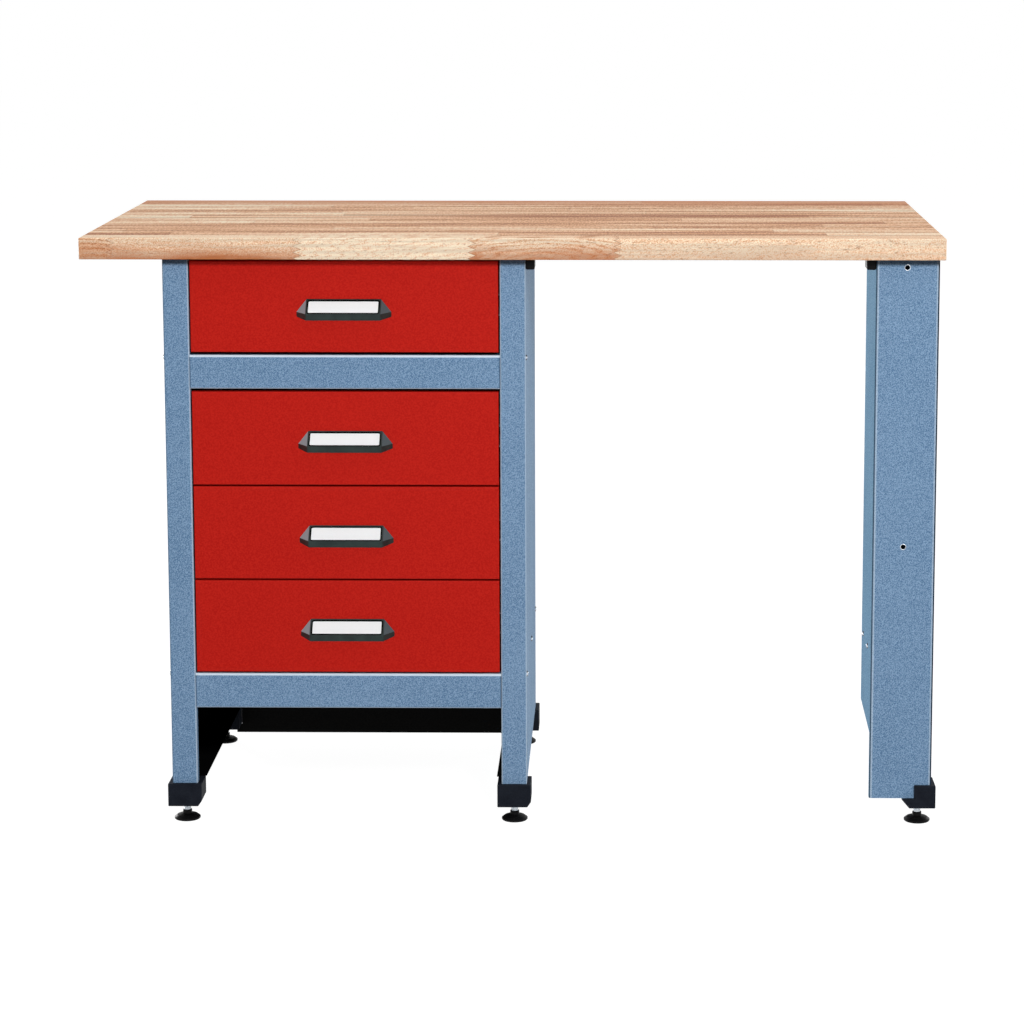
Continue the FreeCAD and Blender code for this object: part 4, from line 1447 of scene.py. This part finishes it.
# Studio
@dataclass(frozen=True)
class SoftBox:
    """A square lamp.

    Attributes:
        name: name of the lamp.
        spot: where it hangs.
        aim: what it points at.
        size: length of its side.
        power: watts.
    """

    name: str
    spot: tuple[float, float, float]
    aim: tuple[float, float, float]
    size: float
    power: float

    def hang(self) -> None:
        """Puts the lamp into the scene."""
        data = bpy.data.lights.new(self.name, "AREA")
        data.shape = "SQUARE"
        data.size = self.size
        data.energy = self.power
        lamp = bpy.data.objects.new(self.name, data)
        bpy.context.scene.collection.objects.link(lamp)
        lamp.location = self.spot
        lamp.rotation_euler = (Vector(self.aim) - Vector(self.spot)).to_track_quat("-Z", "Y").to_euler()


@dataclass
class Studio:
    """White floor and backdrop, soft lamps and the camera.

    Attributes:
        lens: focal length in millimetres.
        sensor: width of the sensor in millimetres.
        far: how far the camera sees.
        spot: where the camera stands.
        pitch: how far it looks down, in degrees.
        yaw: how far it is turned to the left, in degrees.
        shift: shift of the lens.
        world_level: strength of the even light all round.
        floor_size: side of the floor.
        floor_drop: how far the floor lies below the pads.
        floor_grey: how pale the floor is.
        floor_glow: how much of the floor's glow the camera sees.
        glow_strength: strength of that glow.
        lamps: the soft boxes.
    """

    lens: float = 103.90
    sensor: float = 36.0
    far: float = 100.0
    spot: tuple[float, float, float] = (0.150, -4.3632, 1.2457)
    pitch: float = 8.421
    yaw: float = 0.7
    shift: tuple[float, float] = (-0.0707, -0.13)
    world_level: float = 0.12
    floor_size: float = 40.0
    floor_drop: float = 0.0002
    floor_grey: float = 0.6
    floor_glow: float = 0.72
    glow_strength: float = 1.36
    lamps: tuple[SoftBox, ...] = (
        SoftBox("key_box", (1.2, -4.4, 2.9), (0.0, -0.28, 0.5), 0.8, 168.0),
        SoftBox("roof_box", (0.2, -0.4, 3.6), (0.0, 0.0, 0.8), 3.4, 44.0),
        SoftBox("left_box", (-3.2, -1.4, 1.5), (0.0, 0.0, 0.45), 1.8, 14.0),
        SoftBox("right_box", (3.2, -1.4, 1.5), (0.0, 0.0, 0.45), 1.8, 9.0),
        SoftBox("rear_left_box", (-3.7, 4.35, 0.42), (0.52, -0.05, 0.42), 0.8, 330.0),
        SoftBox("rear_right_box", (4.2, 4.35, 0.42), (0.02, -0.05, 0.42), 0.8, 185.0),
    )

    def floor(self) -> None:
        """Lays a wide pale floor that shows nearly white to the camera and keeps a soft shadow."""
        deselect()
        bpy.ops.mesh.primitive_plane_add(size=self.floor_size, location=(0, 0, -self.floor_drop))
        plane = settle(bpy.context.object, "studio_floor")
        material = bpy.data.materials.new("studio_floor")
        material.use_nodes = True
        tree = material.node_tree
        tree.nodes.clear()
        matt = tree.nodes.new("ShaderNodeBsdfDiffuse")
        matt.inputs["Color"].default_value = (self.floor_grey, self.floor_grey, self.floor_grey, 1)
        glow = tree.nodes.new("ShaderNodeEmission")
        glow.inputs["Strength"].default_value = self.glow_strength
        self.camera_mix(tree, matt.outputs[0], glow.outputs[0], self.floor_glow, "ShaderNodeOutputMaterial")
        plane.data.materials.append(material)

    def camera_mix(self, tree: Any, plain: Any, white: Any, share: float, output: str) -> None:
        """Mixes a white glow into a shader for the rays that see the background.

        Args:
            tree: node tree in work.
            plain: shader for all other rays.
            white: shader for the camera and for mirror rays.
            share: how much of the white they see.
            output: type of the output node.
        """
        path = tree.nodes.new("ShaderNodeLightPath")
        seen = path.outputs["Is Camera Ray"]
        for kind in ("Is Glossy Ray", "Is Transmission Ray"):
            either = tree.nodes.new("ShaderNodeMath")
            either.operation = "MAXIMUM"
            tree.links.new(seen, either.inputs[0])
            tree.links.new(path.outputs[kind], either.inputs[1])
            seen = either.outputs[0]
        level = tree.nodes.new("ShaderNodeMath")
        level.operation = "MULTIPLY"
        level.inputs[1].default_value = share
        tree.links.new(seen, level.inputs[0])
        mix = tree.nodes.new("ShaderNodeMixShader")
        tree.links.new(level.outputs[0], mix.inputs[0])
        tree.links.new(plain, mix.inputs[1])
        tree.links.new(white, mix.inputs[2])
        end = tree.nodes.new(output)
        tree.links.new(mix.outputs[0], end.inputs["Surface"])

    def world(self) -> None:
        """Sets an even light all round, white to the camera."""
        world = bpy.data.worlds.new("studio_air")
        bpy.context.scene.world = world
        world.use_nodes = True
        tree = world.node_tree
        tree.nodes.clear()
        air = tree.nodes.new("ShaderNodeBackground")
        air.inputs["Color"].default_value = (1, 1, 1, 1)
        air.inputs["Strength"].default_value = self.world_level
        white = tree.nodes.new("ShaderNodeBackground")
        white.inputs["Color"].default_value = (1, 1, 1, 1)
        white.inputs["Strength"].default_value = 1.0
        self.camera_mix(tree, air.outputs[0], white.outputs[0], 1.0, "ShaderNodeOutputWorld")

    def camera(self) -> None:
        """Sets the camera at the photograph's viewing angle."""
        data = bpy.data.cameras.new("view")
        data.sensor_width = self.sensor
        data.lens = self.lens
        data.shift_x, data.shift_y = self.shift
        data.clip_end = self.far
        camera = bpy.data.objects.new("view", data)
        bpy.context.scene.collection.objects.link(camera)
        camera.location = self.spot
        camera.rotation_euler = (math.radians(90.0 - self.pitch), 0.0, math.radians(self.yaw))
        bpy.context.scene.camera = camera

    def build(self) -> None:
        """Sets up the whole studio."""
        bpy.context.scene.view_settings.view_transform = "Standard"
        self.floor()
        self.world()
        for lamp in self.lamps:
            lamp.hang()
        self.camera()
        log.info("studio set")


def main() -> None:
    """Builds and dresses the bench in order, then sets the studio."""
    logging.basicConfig(level=logging.INFO, format="%(name)s: %(message)s")
    paints = Paintbox()
    Worktop().dress(paints)
    steel = SteelFrame()
    steel.build()
    steel.dress(paints)
    drawers = [Drawer(number) for number in range(1, 5)]
    drawers[0].build()
    for drawer in drawers[1:]:
        drawer.copy_frame(drawers[0])
    for drawer in drawers:
        drawer.dress(paints)
    posts = [side + "_" + end for side in ("left", "centre", "leg") for end in ("front", "rear")]
    feet = [LevellingFoot(post) for post in posts]
    feet[0].build()
    for foot in feet[1:]:
        foot.copy_stud(feet[0])
    for foot in feet:
        foot.dress(paints)
    Studio().build()


if __name__ == "__main__":
    main()
